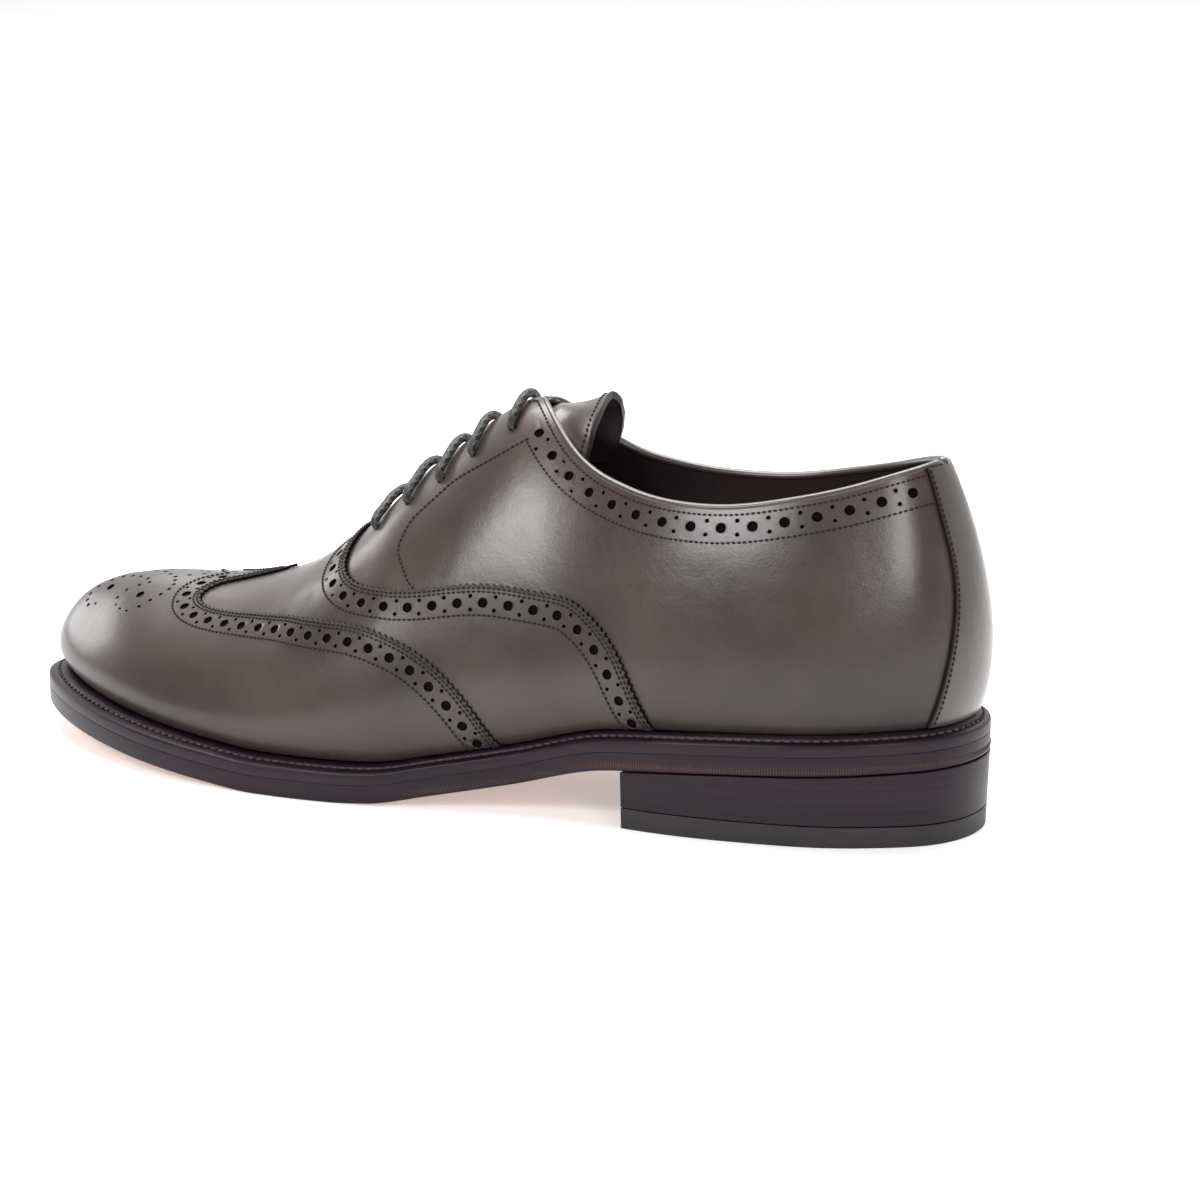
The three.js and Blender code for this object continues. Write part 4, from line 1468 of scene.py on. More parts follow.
@dataclass
class Quarters:
    """The quarters with their lining: the whole shell under the vamp and the cap."""

    last: Last
    wall: float = 2.2
    hole_pitch: float = 9.3
    hole_ends: Pair = (3.5, 1.5)
    band_middle: float = 5.7
    band_width: float = 9.9
    eyelet_radius: float = 1.5
    eyelet_depth: float = 1.7
    bead: Pair = (1.42, 1.15)
    bead_seam: float = 2.1
    bridge: int = 5
    thread_lift: float = 0.05

    def eyelets(self, side: Side) -> SurfaceLine:
        """Return the places of a side's eyelets, from the top down."""
        stations = np.linspace(EYELETS["at"][0], EYELETS["at"][-1], 5)
        up = share_curve(EYELETS, "at", "up")(stations)
        return SurfaceLine(self.last, side, angle_of(stations), up)

    def steps(self) -> tuple[Array, Array]:
        """Return the shell's rib angles and the shares of its columns."""
        corner, turn = float(angle_of(0.405)), float(angle_of(0.47))
        throat = float(angle_of(self.last.throat_station))
        angles = np.concatenate([
            np.linspace(0, corner, 158, endpoint=False),
            np.linspace(corner, turn, 46, endpoint=False),
            np.linspace(turn, throat - 0.004, 48),
            np.linspace(throat, math.pi, 28),
        ])
        shares = np.concatenate([np.linspace(0, 0.58, 19), np.linspace(0.58, 1, 66)[1:]])
        return angles, shares

    def punches(self) -> dict:
        """Return the holes of the collar's band and the eyelets, by side."""
        punching = Punching(self.last)
        for side in Side:
            line = collar_line(self.last, side, self.band_middle)
            line = line.part((line.girth < 0.735) & (station_of(line.angle) > 0.012))
            punching.band(line, 0, self.hole_pitch, self.hole_ends)
            punching.add(self.eyelets(side), 0, self.eyelet_radius, self.eyelet_depth)
        return punching.holes

    def shell(self) -> bpy.types.Object:
        """Make the shell with its holes."""
        angles, shares = self.steps()
        holes = self.punches()
        turn = np.repeat(angles[:, None], len(shares), 1)
        lattices = []
        for side in Side:
            girth = self.last.top_up(angles, side)[:, None] * shares[None, :]
            outer = self.last.on_upper(turn, girth, side, 0.0)
            inner = self.last.on_upper(turn, girth, side, -self.wall)
            flip = side is Side.OUTER
            # Painted shade darkens the shell towards the welt
            lattices.append(Lattice(outer, inner, flip, shade_towards_welt(girth), holes[side]))
        finishes = (Finish.CALF, Finish.LINING, Finish.CUT)
        mesh = closed_sheet("quarters", self.last, lattices, finishes)
        return add_piece(mesh, ["upper"])

    def edge_bead(self) -> bpy.types.Object:
        """Make the rolled edge along the collar and down the facings."""
        last = self.last
        halves = []
        for side in Side:
            angle = np.linspace(0, float(angle_of(last.throat_station)) - 0.004, 900)
            line = SurfaceLine(last, side, angle, last.top_up(angle, side)).spaced(0.9)
            centres = line.points(-self.wall / 2)
            halves.append((centres, line.normals(), station_of(line.angle)))
        centres, normals, stations = (
            np.concatenate([halves[0][k][:0:-1], halves[1][k]]) for k in range(3)
        )
        joint = len(halves[0][0]) - 1
        ends = (joint - self.bridge, joint + self.bridge)
        for row in (centres, normals):
            for k in range(ends[0] + 1, ends[1]):
                share = (k - ends[0]) / (ends[1] - ends[0])
                row[k] = row[ends[0]] * (1 - share) + row[ends[1]] * share
        for _ in range(3):
            centres[1:-1] = (centres[:-2] + 2 * centres[1:-1] + centres[2:]) / 4
            normals[1:-1] = unit(normals[:-2] + 2 * normals[1:-1] + normals[2:])
        tangent = unit(np.gradient(centres, axis=0))
        normals = unit(normals - tangent * (normals * tangent).sum(1)[:, None])
        upward = np.cross(tangent, normals)
        upward *= np.sign(upward[len(upward) // 2, 2])
        turns = np.linspace(0, 2 * math.pi, 14, endpoint=False)
        profile = np.stack([self.bead[0] * np.cos(turns), self.bead[1] * np.sin(turns)], 1)
        points, faces = tube(centres, normals, upward, profile)
        slim = np.repeat(np.interp(stations, [0.4, 0.475], [1, 0.84]), len(profile))
        middle = np.repeat(centres, len(profile), 0)
        points = last.to_world(middle + (points - middle) * slim[:, None])
        mesh = make_mesh("collar_edge", points, faces, [Finish.STRIP_CALF])
        return add_piece(right_side_out(mesh))

    def bead_row(self, thread: Stitching) -> None:
        """Add the row under the rolled edge, in its own brown thread."""
        for side in Side:
            thread.add(collar_line(self.last, side, self.bead_seam), self.thread_lift)

    def stitch(self, thread: Stitching) -> None:
        """Add the stitch lines of the collar and the facings."""
        count = len(FACING_STITCH["at"])
        steps = np.linspace(0, count - 1, 200)
        at, up = (SmoothCurve(np.arange(count), row, False)(steps)
                  for row in FACING_STITCH.values())
        for side in Side:
            low = collar_line(self.last, side, self.band_width)
            low = low.part((low.girth < 0.69) & (station_of(low.angle) > 0.006))
            thread.add(low, self.thread_lift)
            thread.add(low.moved(angle_of(at), up), self.thread_lift)


@dataclass
class EdgedPanel:
    """A panel laid over the upper, its rear edge gimped, stitched and punched."""

    last: Last
    name: str
    node: str
    seam: dict
    under: float
    top: float
    hole_pitch: float
    tooth: float = 2.1
    tooth_depth: float = 0.75
    band_middle: float = 5.65
    band_width: float = 10.5
    rows_per_tooth: int = 4
    columns: int = 50
    depth: float = 0.8
    rim_drop: float = 0.34
    rim_darkening: tuple[float, ...] = (0.8, 0.45, 0.18, 0.1)
    band_ends: Pair = (2.5, 2.5)
    stitch_rows: Triple = (1.4, 2.5, 9.2)
    crossing: float = 0.994
    thread_lift: float = 0.05

    def __post_init__(self) -> None:
        """Start gathering the panel's holes."""
        self.punching = Punching(self.last, depth=self.depth)

    def ends(self, girth: Array) -> Array:
        """Return the rib angles at which the panel ends."""
        return np.full(girth.shape, math.pi)

    def lattice(self, side: Side, girth: Array, peak: Array | None) -> tuple[Lattice, Array]:
        """Lay out one side.

        Args:
            side: The side of the shoe.
            girth: The girth share of each row.
            peak: The other side's angles along the crest, which both sides share.

        Returns:
            The lattice and its angles along the crest.
        """
        last = self.last
        stations = share_curve(self.seam, "up", "at")(girth)
        line = SurfaceLine(last, side, angle_of(stations), girth)
        run = line.lengths()
        ends = np.minimum(run, run[-1] - run)
        calm = np.clip(ends / 2, 0, 1)
        step = line.sideways()
        room = np.maximum(np.where(step[:, 1] > 0, 1 - girth, girth), 1e-9)

        def beside(inset: Array) -> tuple[Array, Array]:
            """Return angles and girths beside the seam, kept within the side."""
            move = np.abs(step[:, 1]) * inset
            up = girth + np.sign(step[:, 1]) * room * (1 - np.exp(-move / room))
            return line.angle + step[:, 0] * inset, up

        teeth = np.round(run[-1] / self.tooth)
        wave = 0.5 - 0.5 * np.cos(2 * math.pi * teeth * run / run[-1])
        bite = self.tooth_depth * wave**0.7 * calm
        insets = [bite, bite + 0.28] + list(np.arange(1.5, self.band_width, 0.62))
        pairs = [beside(inset) for inset in insets]
        goal = self.ends(girth)
        from_angle, from_up = pairs[-1]
        for share in np.linspace(0, 1, self.columns)[1:]:
            ease = share * (0.6 + 0.4 * share)
            angles = from_angle * (1 - ease) + goal * ease
            pairs.append((angles, from_up * (1 - ease) + girth * ease))
        angle, up = (np.stack([pair[k] for pair in pairs], 1) for k in range(2))
        up = np.clip(up, 0, 1)
        up[0], up[-1] = 0, 1
        angle = np.clip(angle, 0, math.pi)
        if peak is not None:
            angle[-1] = peak
        lift = np.full(angle.shape, self.top)
        lift[:, 0] -= self.rim_drop
        outer = last.on_upper(angle, up, side, lift)
        inner = last.on_upper(angle, up, side, self.under)
        # Darken the rim along the cut edge, and add painted shade towards the welt
        edge_dark_and_shade = np.zeros(angle.shape)
        edge_dark_and_shade[:, : len(self.rim_darkening)] = self.rim_darkening
        edge_dark_and_shade = np.maximum(edge_dark_and_shade, shade_towards_welt(up))
        flip = side is Side.OUTER
        return Lattice(outer, inner, flip, edge_dark_and_shade, self.punching.holes[side]), angle[-1]

    def rows(self) -> Array:
        """Return the girth shares of the rows, evenly along the seam."""
        line = seam_line(self.last, Side.OUTER, self.seam, 3000)
        run = line.lengths()
        teeth = round(run[-1] / self.tooth)
        return line.at(np.linspace(0, run[-1], teeth * self.rows_per_tooth + 1)).girth

    def build(self) -> bpy.types.Object:
        """Make the panel with its holes."""
        for side in Side:
            centre = seam_line(self.last, side, self.seam).offset(self.band_middle)
            self.punching.band(centre, self.top, self.hole_pitch, self.band_ends)
        girth = self.rows()
        outer, peak = self.lattice(Side.OUTER, girth, None)
        inner, _ = self.lattice(Side.INNER, girth, peak)
        finishes = (Finish.CALF, Finish.LINING, Finish.CUT)
        mesh = closed_sheet(self.name, self.last, [outer, inner], finishes, CUT)
        return add_piece(mesh, [self.node])

    def stitch(self, thread: Stitching) -> None:
        """Add the two rows by the gimped edge and the row beyond the holes."""
        for side in Side:
            seam = seam_line(self.last, side, self.seam)
            for inset in self.stitch_rows:
                line = seam.offset(inset)
                crossed = np.nonzero(line.girth > self.crossing)[0]
                stop = crossed[0] + 1 if len(crossed) else len(line.girth)
                thread.add(line.part(slice(stop)), self.top + self.thread_lift)


@dataclass
class Vamp(EdgedPanel):
    """The vamp, which runs on under the wing cap."""

    hidden: float = 0.028

    def ends(self, girth: Array) -> Array:
        """Return the rib angles at which the vamp ends, under the cap."""
        return angle_of(share_curve(WING_SEAM, "up", "at")(girth) + self.hidden)


# The toe's medallion: points on the inner half and the middle, as millimetres from the
# last's middle along the shoe and from the middle line across it

MEDALLION = {
    "big": ((-128.6, 7.3), (-112.5, 16.2), (-103.6, 0)),
    "small": (
        (-115.5, 0), (-111.8, 1.7), (-108.9, 3.9), (-105.8, 6.0), (-104.4, 8.6),
        (-103.2, 11.4), (-103.4, 14.0), (-104.4, 17.0), (-106.6, 19.6), (-109.6, 21.7),
        (-113.4, 22.3), (-117.1, 20.8), (-119.9, 18.4), (-121.4, 14.9), (-119.8, 12.1),
        (-115.8, 11.0), (-112.6, 10.0), (-115.0, 7.3), (-119.0, 5.0), (-122.8, 3.2),
        (-126.8, 2.5), (-130.7, 3.0), (-134.7, 4.4), (-136.6, 6.5), (-135.8, 9.5),
        (-133.9, 12.2), (-130.5, 13.1), (-102.2, 3.7), (-98.5, 1.4),
    ),
}


@dataclass
class WingCap(EdgedPanel):
    """The winged toe cap with its medallion."""

    big: float = 1.35
    small: float = 0.62
    medallion_move: float = -1.5

    def surface_spot(self, place: Pair, side: Side) -> Pair:
        """Return the rib angle and girth share over a place in plan."""
        angle = np.linspace(1.8, math.pi, 260)
        girth = np.linspace(0.35, 1, 200)
        turn, up = np.meshgrid(angle, girth, indexing="ij")
        points = self.last.point(turn, up, side)
        goal = np.array([place[0] + self.medallion_move, side.value * place[1]])
        middle = self.last.swing(self.last.station_at(points[..., 0]))
        away = np.hypot(points[..., 0] - goal[0], points[..., 1] - middle - goal[1])
        best = np.unravel_index(np.argmin(away), away.shape)
        return float(turn[best]), float(up[best])

    def medallion(self) -> None:
        """Add the medallion's holes."""
        for kind, radius in (("big", self.big), ("small", self.small)):
            for side in Side:
                spots = [place for place in MEDALLION[kind]
                         if place[1] > 0 or side is Side.OUTER]
                found = np.array([self.surface_spot(place, side) for place in spots])
                line = SurfaceLine(self.last, side, found[:, 0], found[:, 1])
                self.punching.add(line, self.top, radius)


@dataclass
class BackStrip:
    """The strip over the seam down the back of the heel."""

    last: Last
    under: float = 0.05
    top: float = 1.15
    head: float = 0.528
    rim_drop: float = 0.35
    rim_darkening: Triple = (0.35, 0.75, 1.0)
    seam: float = 0.93
    thread_lift: float = 0.03

    def edge(self, side: Side, girth: Array, share: Array) -> Array:
        """Return rib angles at a share of the strip's half width."""
        turns = np.linspace(0, 1.0, 1200)
        widths = np.maximum.accumulate(self.last.half[side](turns))
        half = share_curve(STRIP_SEAM, "up", "half", self.last.ball_width)(girth)
        return np.interp(half, widths, turns) * share

    def build(self) -> bpy.types.Object:
        """Make the strip."""
        lattices = []
        up = np.linspace(0, 1, 90)
        shares = np.concatenate([np.linspace(0, 0.96, 24), [0.985, 1]])
        girth = np.repeat((up * self.head)[None, :], len(shares), 0)
        for side in Side:
            angle = self.edge(side, girth, shares[:, None])
            lift = np.full(girth.shape, self.top)
            lift[-1] -= self.rim_drop
            outer = self.last.on_upper(angle, girth, side, lift)
            inner = self.last.on_upper(angle, girth, side, self.under)
            edge_dark_and_shade = np.zeros(girth.shape)
            edge_dark_and_shade[-len(self.rim_darkening) :] = np.array(self.rim_darkening)[:, None]
            lattices.append(Lattice(outer, inner, side is Side.OUTER, edge_dark_and_shade))
        finishes = (Finish.STRIP_CALF, Finish.LINING)
        mesh = closed_sheet("back_strip_panel", self.last, lattices, finishes)
        return add_piece(mesh, ["back_strip"])

    def stitch(self, thread: Stitching) -> None:
        """Add a row along each edge."""
        girth = np.linspace(0.01, self.head - 0.01, 200)
        for side in Side:
            line = SurfaceLine(self.last, side, self.edge(side, girth, self.seam), girth)
            thread.add(line, self.top + self.thread_lift)


@dataclass
class Tongue:
    """The tongue under the facings, its top edge stitched."""

    last: Last
    wall: float = 2.2
    slack: float = 0.6
    thickness: float = 2.2
    dip: float = 2.4
    arch: float = 5.2
    seam: float = 2.2
    free_from: float = 0.43
    free_over: float = 0.062
    clear_from: float = 0.01
    clear_over: float = 0.16
    rim_drop: float = 0.4
    thread_lift: float = 0.05

    def lift(self, angle: Array) -> Array:
        """Return how far the tongue lies under the upper's face."""
        station = station_of(angle)
        room = np.clip((station - 0.435) / 0.03, 0, 1) * np.clip((0.65 - station) / 0.02, 0, 1)
        return -self.wall - self.slack - self.dip * room

    def rise(self, angle: Array, girth: Array, side: Side) -> Array:
        """Return how far the free end stands up in its arch, clear of the collar."""
        free = np.clip((self.free_from - station_of(angle)) / self.free_over, 0, 1)
        over = girth - self.last.top_up(angle, side) - self.clear_from
        clear = np.clip(over / self.clear_over, 0, 1)
        return self.arch * free ** 1.5 * clear * (2 - clear)

    def build(self) -> bpy.types.Object:
        """Make the tongue."""
        stations = np.linspace(TONGUE_EDGE["at"][0], TONGUE_EDGE["at"][-1], 90)
        low = share_curve(TONGUE_EDGE, "at", "up")(stations)[:, None]
        shares = np.linspace(0, 1, 36)
        girth = low + (1 - low) * shares[None, :]
        angle = np.repeat(angle_of(stations)[:, None], len(shares), 1)
        rim = np.minimum(np.arange(len(stations))[:, None], np.arange(len(shares))[None, :])
        edge_dark_and_shade = np.where(rim == 0, 0.6, np.where(rim == 1, 0.3, 0.0))
        lattices = []
        for side in Side:
            lift = self.lift(angle) + self.rise(angle, girth, side)
            lift = lift - np.where(rim == 0, self.rim_drop, 0.0)
            outer = self.last.on_upper(angle, girth, side, lift)
            inner = self.last.on_upper(angle, girth, side, lift - self.thickness)
            lattices.append(Lattice(outer, inner, side is Side.OUTER, edge_dark_and_shade))
        finishes = (Finish.CALF, Finish.LINING)
        mesh = closed_sheet("tongue_leather", self.last, lattices, finishes)
        return add_piece(mesh, ["tongue"])

    def stitch(self, thread: Stitching) -> None:
        """Add the row along the free end."""
        stations = np.linspace(TONGUE_EDGE["at"][0], 0.4, 160)
        low = share_curve(TONGUE_EDGE, "at", "up")(stations)
        angle = np.concatenate([np.full(60, angle_of(stations[0])), angle_of(stations)])
        girth = np.concatenate([np.linspace(1, low[0], 60, endpoint=False), low])
        for side in Side:
            edge = SurfaceLine(self.last, side, angle, girth).spaced(0.8).offset(-self.seam)
            lift = self.lift(edge.angle) + self.rise(edge.angle, edge.girth, side)
            thread.add(edge, lift + self.thread_lift)


@dataclass
class Lace:
    """One round waxed lace in straight bars, from eyelet to eyelet."""

    last: Last
    quarters: Quarters
    diameter: float = 2.75
    rise: float = 1.75
    inside: float = 2.1
    ring: int = 14
    plait: float = 3.4
    step: float = 0.55

    def eyelet(self, pair: int, side: Side, lift: float, aside: float = 0) -> Array:
        """Return a point over or under an eyelet, moved aside along the girth."""
        spot = self.quarters.eyelets(side).part(slice(pair, pair + 1))
        return spot.moved(spot.angle, spot.girth + aside).points(lift)[0]

    def bar(self, pair: int, start: Side, stop: Side) -> list[Array]:
        """Return the points of a bar over the facings."""
        over = []
        for side in (start, stop):
            row = self.quarters.eyelets(side)
            room = float(self.last.top_up(row.angle[pair], side)) - row.girth[pair]
            leg = [self.eyelet(pair, side, -self.quarters.wall / 2)]
            leg.append(self.eyelet(pair, side, 0.5))
            for share, lift in ((0.35, self.rise * 0.9), (0.75, self.rise), (1.0, self.rise)):
                leg.append(self.eyelet(pair, side, lift, room * share))
            over.append(leg)
        return over[0] + over[1][::-1]

    def route(self) -> Array:
        """Return the lace's way: over each pair and hidden under the facings between."""
        outer, inner = Side.OUTER, Side.INNER
        depth = -(self.quarters.wall + self.inside)
        order = [(0, outer, inner), (2, inner, outer), (4, outer, inner), (3, inner, outer),
                 (1, outer, inner)]
        points = [self.eyelet(0, outer, depth, -0.05), self.eyelet(0, outer, depth, -0.02)]
        for step, (pair, start, stop) in enumerate(order):
            points += self.bar(pair, start, stop)
            if step + 1 < len(order):
                after = order[step + 1][0]
                aside = -0.012 if step % 2 else 0.012
                points.append(self.eyelet(pair, stop, depth, aside))
                points.append(self.eyelet(after, stop, depth, aside))
        points.append(self.eyelet(1, inner, depth, -0.02))
        points.append(self.eyelet(0, inner, depth, -0.045))
        return np.array(points)

    def build(self) -> bpy.types.Object:
        """Make the lace as a tube with its own UV map."""
        raw = self.route()
        chord = run_lengths(raw)
        fine = np.linspace(0, chord[-1], 4000)
        path = np.stack([SmoothCurve(chord, raw[:, k], False)(fine) for k in range(3)], 1)
        run = run_lengths(path)
        places = np.linspace(0, run[-1], round(run[-1] / self.step))
        path = np.stack([np.interp(places, run, path[:, k]) for k in range(3)], 1)
        tangent = unit(np.gradient(path, axis=0))
        across = [unit(np.cross(tangent[0], (0.3, 0.5, 0.8)))]
        for direction in tangent[1:]:
            across.append(unit(across[-1] - direction * (across[-1] @ direction)))
        across = np.array(across)
        turns = np.linspace(0, 2 * math.pi, self.ring, endpoint=False)
        profile = np.stack([np.cos(turns), np.sin(turns)], 1) * self.diameter / 2
        points, faces = tube(path, across, np.cross(tangent, across), profile)
        mesh = make_mesh("lace", self.last.to_world(points), faces, [Finish.CORD])
        self.map_braid(mesh, places)
        return add_piece(right_side_out(mesh),
                         [f"lace_bar_{pair}" for pair in range(1, 6)])

    def map_braid(self, mesh: bpy.types.Mesh, places: Array) -> None:
        """Lay the braid's UV map over the cord: plaits along it, and turns round it."""
        corners = np.empty(len(mesh.loops), np.int32)
        mesh.loops.foreach_get("vertex_index", corners)
        turn = (corners % self.ring) / self.ring
        starts = np.empty(len(mesh.polygons), np.int32)
        totals = np.empty(len(mesh.polygons), np.int32)
        mesh.polygons.foreach_get("loop_start", starts)
        mesh.polygons.foreach_get("loop_total", totals)
        owner = np.repeat(np.arange(len(starts)), totals)
        high = np.maximum.reduceat(turn, starts)[owner]
        turn = np.where((high > 0.9) & (turn == 0) & (totals[owner] == 4), 1.0, turn)
        along = places[corners // self.ring] / self.plait
        layer = mesh.uv_layers.new(name="braid")
        layer.data.foreach_set("uv", np.stack([along, turn], 1).ravel().astype(np.float32))


# The sole


@dataclass
class Slab:
    """A layer of the sole or the heel, with a rounded edge all round."""

    last: Last
    name: str
    node: str
    edge: Finish
    base: Finish
    low: Curve
    high: Curve
    soft: Pair = (0.8, 0.6)
    taper: Pair = (0.0, 0.0)
    stops: Pair = (math.pi, math.pi)
    sections: int = 150
    margins: bool = True

    def profile(self) -> list[tuple[float, float, float, int]]:
        """Return the edge's profile from bottom to top.

        Returns:
            For each point how far in it lies, its share of the height, what is added to
            the height, and the finish of the face that starts there.
        """
        low, high = self.soft
        points = [(low * 1.6, 0.0, 0.0, 1), (low, 0.0, 0.0, 0)]
        for turn in ROUND[1:]:
            swing = turn * math.pi / 2
            points.append((low * (1 - math.sin(swing)), 0.0, low * (1 - math.cos(swing)), 0))
        for turn in ROUND:
            swing = turn * math.pi / 2
            points.append((high * (1 - math.cos(swing)), 1.0, -high * (1 - math.sin(swing)), 0))
        points.append((high * 2, 1.0, 0.0, 0))
        return points

    def edge_points(self, angle: Array, side: Side) -> Array:
        """Return the profile's points at each rib angle of a side."""
        margin = self.last.margin[side](angle) if self.margins else 0.0
        rows = []
        for inset, share, more, _ in self.profile():
            taper = self.taper[0] * (1 - share) + self.taper[1] * share
            x, y, _ = self.last.outside(angle, side, margin - taper - inset)
            z = self.low(x) * (1 - share) + self.high(x) * share + more
            rows.append(np.stack([x, y, z], -1))
        return np.stack(rows, 1)

    def build(self) -> bpy.types.Object:
        """Make the layer."""
        cut = self.stops[0] < math.pi
        share = np.linspace(0, 1, self.sections)
        if cut:
            share = 1 - np.cos(np.linspace(0, math.pi / 2, self.sections))
        outer = self.edge_points(share * self.stops[0], Side.OUTER)
        inner = self.edge_points(share * self.stops[1], Side.INNER)
        loop = np.concatenate([outer, inner[:, ::-1]], 1)
        rows, size = loop.shape[:2]
        points = loop.reshape(-1, 3)
        first, index = weld(points, 500)
        kinds = [item[3] for item in self.profile()]
        pick_of = kinds[:-1] + [0] + kinds[:-1][::-1] + [1]
        rings, picks = [], []
        for number, quad in enumerate(skin(rows, size)):
            ring = clean_ring([index[k] for k in quad])
            if ring:
                rings.append(ring)
                picks.append(pick_of[number % size])
        if cut:
            rings.append(list(index[(rows - 1) * size :]))
            picks.append(0)
        mesh = make_mesh(self.name, self.last.to_world(points[first]), rings,
                         [self.edge, self.base], picks, crease=50)
        return add_piece(right_side_out(mesh), [self.node])


def round_edge(section: Callable, stop: float, count: int) -> tuple[Array, Array]:
    """Join a line's two sides round the heel: the outer side backwards, then the inner.

    Args:
        section: Gives the points and the facings at rib angles of a side.
        stop: The rib angle that the line reaches on both sides.
        count: How many points a side has.

    Returns:
        The line's points and its facings.
    """
    angles = np.linspace(0, stop, count)
    outer, inner = section(angles[::-1], Side.OUTER), section(angles, Side.INNER)
    return tuple(np.concatenate([outer[k], inner[k][1:]]) for k in range(2))


@dataclass
class Welt:
    """The welt: a stitched ledge that rises to the upper."""

    last: Last
    shoulder: float = 0.5
    wall: float = 2.2
    groove: float = 0.42
    lip: float = 0.8
    thread_drop: float = 0.12

    def seam_out(self, angle: Array, side: Side) -> Array:
        """Return how far the stitches lie outside the feather line."""
        return 0.5 * self.last.margin[side](angle) + 0.15

    def slope(self, edge: Array) -> Array:
        """Return how steeply the ledge rises inwards from its lip."""
        return self.last.welt_rise / np.maximum(edge - self.lip - self.shoulder, 0.5)

    def profile(self, angle: Array, side: Side) -> Array:
        """Return each section's points round the welt."""
        last = self.last
        edge = last.margin[side](angle)
        seam = self.seam_out(angle, side)
        slope = self.slope(edge)
        rim, crown = last.welt, last.welt + last.welt_rise

        def top(out: Array) -> Array:
            """Return the ledge's height over the welt's underside."""
            return rim + slope * np.clip(edge - self.lip - out, 0, None)

        rows = [
            (edge - 0.3, -0.24), (edge - 0.05, -0.2), (edge, 0.0), (edge, rim - 0.9),
            (edge - 0.08, rim - 0.5), (edge - 0.3, rim - 0.18), (edge - 0.75, rim - 0.01),
            (seam + 0.75, top(seam + 0.75)), (seam + 0.5, top(seam + 0.5) - 0.1),
            (seam + 0.2, top(seam) - self.groove), (seam - 0.2, top(seam) - self.groove),
            (seam - 0.5, top(seam - 0.5) - 0.1), (seam - 0.75, top(seam - 0.75)),
            (self.shoulder + 0.25, top(self.shoulder + 0.25)), (0.15, crown - 0.35),
            (-self.wall - last.drop(angle), crown - 0.45), (-self.wall - last.drop(angle), -0.24),
        ]
        points = []
        for out, height in rows:
            x, y, _ = last.outside(angle, side, out)
            points.append(np.stack([x, y, last.welt_bottom(x) + height], -1))
        return np.stack(points, 1)

    def build(self) -> bpy.types.Object:
        """Make the welt."""
        angles = np.linspace(0, math.pi, 260)
        outer = self.profile(angles, Side.OUTER)
        inner = self.profile(angles[1:-1], Side.INNER)[::-1]
        loop = np.concatenate([outer, inner])
        mesh = make_mesh("welt_strip", self.last.to_world(loop.reshape(-1, 3)),
                         skin(*loop.shape[:2], closed=True), [Finish.EDGE], crease=50)
        return add_piece(right_side_out(mesh), ["welt"])

    def seam_section(self, angles: Array, side: Side) -> tuple[Array, Array]:
        """Return the stitch line's points and the directions off the ledge."""
        last = self.last
        edge = last.margin[side](angles)
        seam = self.seam_out(angles, side)
        slope = self.slope(edge)
        x, y, normal = last.outside(angles, side, seam)
        ledge = last.welt_bottom(x) + last.welt + slope * (edge - self.lip - seam)
        flat = np.concatenate([normal * slope[:, None], np.ones((len(x), 1))], -1)
        return np.stack([x, y, ledge - self.thread_drop], -1), unit(flat)

    def stitch(self, thread: Stitching) -> None:
        """Add the row of stitches in the welt's groove."""
        thread.add_points(*round_edge(self.seam_section, math.pi, 500))


@dataclass
class Sole:
    """Outsole, welt, heel and insole."""

    last: Last
    heel_length: float = 93.4
    taper: float = 0.7
    top_piece: float = 6
    gap: float = 0.3
    knurl_pitch: float = 0.8
    knurl_sides: Triple = (0.42, 2.1, 0.42)
    knurl_height: float = 1.75
    knurl_stop: float = 1.62

    def breast(self, side: Side) -> float:
        """Return the rib angle at which the sole's edge passes the heel's breast."""
        last = self.last
        goal = last.length / 2 + float(last.margin[Side.OUTER](0)) - self.heel_length
        angles = np.arange(0.2, 2, 0.001)
        x = last.outside(angles, side, last.margin[side](angles))[0]
        return float(angles[np.argmax(x <= goal)])

    def knurl_section(self, angles: Array, side: Side) -> tuple[Array, Array]:
        """Return the wheeled band's points and the directions away from the edge."""
        x, y, normal = self.last.outside(angles, side, self.last.margin[side](angles) - 0.05)
        z = self.last.underside(x) + self.knurl_height
        return np.stack([x, y, z], -1), np.concatenate([normal, np.zeros((len(x), 1))], -1)

    def knurl(self) -> bpy.types.Object:
        """Make the wheeled band round the heel seat, low on the outsole's edge."""
        row = Stitching(self.last, "heel_knurl", Finish.KNURL, self.knurl_pitch,
                        self.knurl_sides, rings=6, smooth=False)
        row.add_points(*round_edge(self.knurl_section, self.knurl_stop, 400))
        return row.sew()

    def build(self) -> None:
        """Make the sole's pieces."""
        last = self.last
        stops = (self.breast(Side.OUTER), self.breast(Side.INNER))
        high = self.taper * (1 - self.top_piece / last.heel_height)
        Slab(last, "outsole_leather", "outsole", Finish.EDGE, Finish.SOLE, last.underside,
             last.outsole_top, (0.8, 0.14), sections=260).build()
        Slab(last, "heel_lifts", "heel_stack", Finish.EDGE, Finish.EDGE,
             lambda x: 0 * x + self.top_piece + self.gap,
             lambda x: last.underside(x) - self.gap, (0.15, 0.3), (high, 0.0), stops).build()
        Slab(last, "top_piece", "heel_top_piece", Finish.RUBBER, Finish.RUBBER,
             lambda x: 0 * x, lambda x: 0 * x + self.top_piece, (0.35, 0.15),
             (self.taper, high), stops).build()
        welt = Welt(last)
        welt.build()
        thread = Stitching(last, "welt_stitches", Finish.EDGE_THREAD, 2.7, (2.35, 0.85, 0.85))
        welt.stitch(thread)
        thread.sew()
        self.knurl()
        self.sock()

    def sock(self) -> bpy.types.Object:
        """Make the insole with its leather sock."""
        last = self.last
        layer = Slab(last, "insole_sock", "insole", Finish.LINING, Finish.LINING,
                     last.welt_bottom, lambda x: last.welt_top(x) + 1, (0.3, 0.7),
                     (2.5, 2.5), margins=False, sections=160)
        return layer.build()


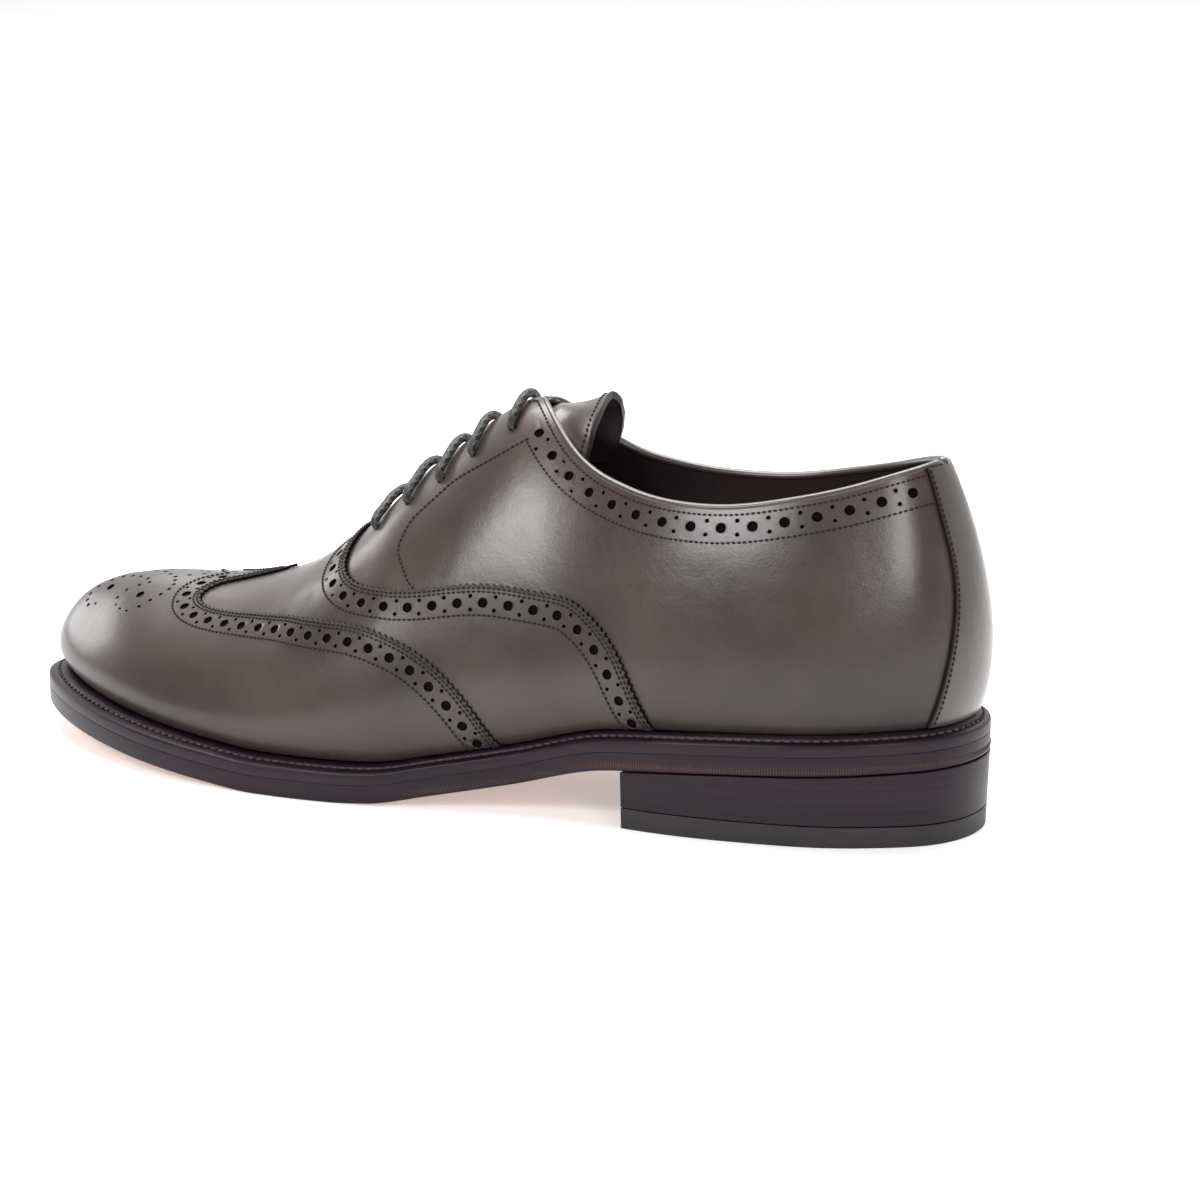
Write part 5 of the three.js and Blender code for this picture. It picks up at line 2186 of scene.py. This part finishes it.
@dataclass(frozen=True)
class Lamp:
    """A soft lamp: its power in watts, its sides, its place and its aim in metres."""

    name: str
    power: float
    size: Pair
    place: Triple
    target: Triple

    def build(self) -> None:
        """Add the lamp to the scene."""
        data = bpy.data.lights.new(self.name, "AREA")
        data.energy = self.power
        data.shape = "RECTANGLE"
        data.size, data.size_y = self.size
        aim(add_object(self.name, data), self.place, self.target)


STUDIO_LAMPS = (
    Lamp("top_light", 26, (1.1, 0.7), (-0.2, 0.3, 1.2), (0, 0, 0)),
    Lamp("front_light", 12, (0.6, 0.5), (-0.35, -1.1, 0.95), (-0.02, 0, 0.05)),
    Lamp("heel_light", 4, (0.3, 0.5), (0.75, -0.75, 0.6), (0.08, 0, 0.06)),
    Lamp("toe_light", 3.6, (0.6, 0.5), (-1.3, 0.3, 0.4), (-0.1, 0, 0.04)),
    Lamp("backdrop_light", 40, (3, 2), (-0.6, 2.6, 1.6), (-0.6, 2.7, 0)),
)


def aim(thing: bpy.types.Object, place: Sequence[float], target: Sequence[float]) -> None:
    """Put an object somewhere and point its -Z at a target."""
    thing.location = place
    direction = Vector(tuple(np.array(target, float) - np.array(place, float)))
    thing.rotation_euler = direction.to_track_quat("-Z", "Y").to_euler()


@dataclass
class Studio:
    """The floor, the lights and the camera at the photograph's place."""

    azimuth: float = 23.96
    elevation: float = 13.26
    distance: float = 0.9203
    focal: float = 94.58
    target: Triple = (0.03454, 0.0012, 0.05475)
    floor_side: float = 14
    dim: float = 0.25
    dim_before: Pair = (-0.3, 0.5)

    def floor(self) -> None:
        """Make the floor."""
        bpy.ops.mesh.primitive_plane_add(size=self.floor_side)
        floor = bpy.context.object
        floor.name = "studio_floor"
        floor.data.materials.append(StudioFloor().build())

    def surroundings(self) -> None:
        """Make the room's light: white behind the shoe, dimmer before it."""
        world = bpy.context.scene.world or bpy.data.worlds.new("studio")
        bpy.context.scene.world = world
        world.use_nodes = True
        nodes = Nodes(world.node_tree, "ShaderNode")
        axes = nodes.node("SeparateXYZ", {0: nodes.node("TexCoord").outputs["Generated"]})
        low, high = self.dim_before
        inputs = {"Value": axes.outputs["Y"], "From Min": low, "From Max": high,
                  "To Min": self.dim}
        background = world.node_tree.nodes["Background"]
        background.inputs["Color"].default_value = (1, 1, 1, 1)
        level = nodes.node("MapRange", inputs).outputs["Result"]
        nodes.set(background.inputs["Strength"], level)

    def camera(self) -> None:
        """Set up the camera."""
        turn, up = math.radians(self.azimuth), math.radians(self.elevation)
        back = np.array([math.sin(turn) * math.cos(up), -math.cos(turn) * math.cos(up),
                         math.sin(up)])
        data = bpy.data.cameras.new("camera")
        data.lens = self.focal
        data.sensor_width = 36
        data.sensor_fit = "HORIZONTAL"
        camera = add_object("camera", data)
        aim(camera, np.array(self.target) + back * self.distance, self.target)
        bpy.context.scene.camera = camera

    def build(self) -> None:
        """Make the whole studio."""
        self.floor()
        for lamp in STUDIO_LAMPS:
            lamp.build()
        bpy.context.scene.view_settings.view_transform = "Standard"
        self.surroundings()
        self.camera()


def main() -> None:
    """Build and dress the shoe, then the studio."""
    last = Last()
    LOG.info("shift %s", last.shift)
    quarters = Quarters(last)
    quarters.shell()
    quarters.edge_bead()
    vamp = Vamp(last, "vamp_panel", "vamp", VAMP_SEAM, 0.12, 1.25, 8.0)
    vamp.build()
    cap = WingCap(last, "wing_cap_panel", "wing_cap", WING_SEAM, 1.33, 2.25, 7.1, depth=0.7)
    cap.medallion()
    cap.build()
    strip = BackStrip(last)
    strip.build()
    tongue = Tongue(last)
    tongue.build()
    thread = Stitching(last, "upper_stitches", Finish.THREAD)
    for part in (quarters, vamp, cap, strip, tongue):
        part.stitch(thread)
    thread.sew()
    brown = Stitching(last, "collar_stitches", Finish.BEAD_THREAD)
    quarters.bead_row(brown)
    brown.sew()
    Lace(last, quarters).build()
    Sole(last).build()
    Studio().build()


if __name__ == "__main__":
    main()
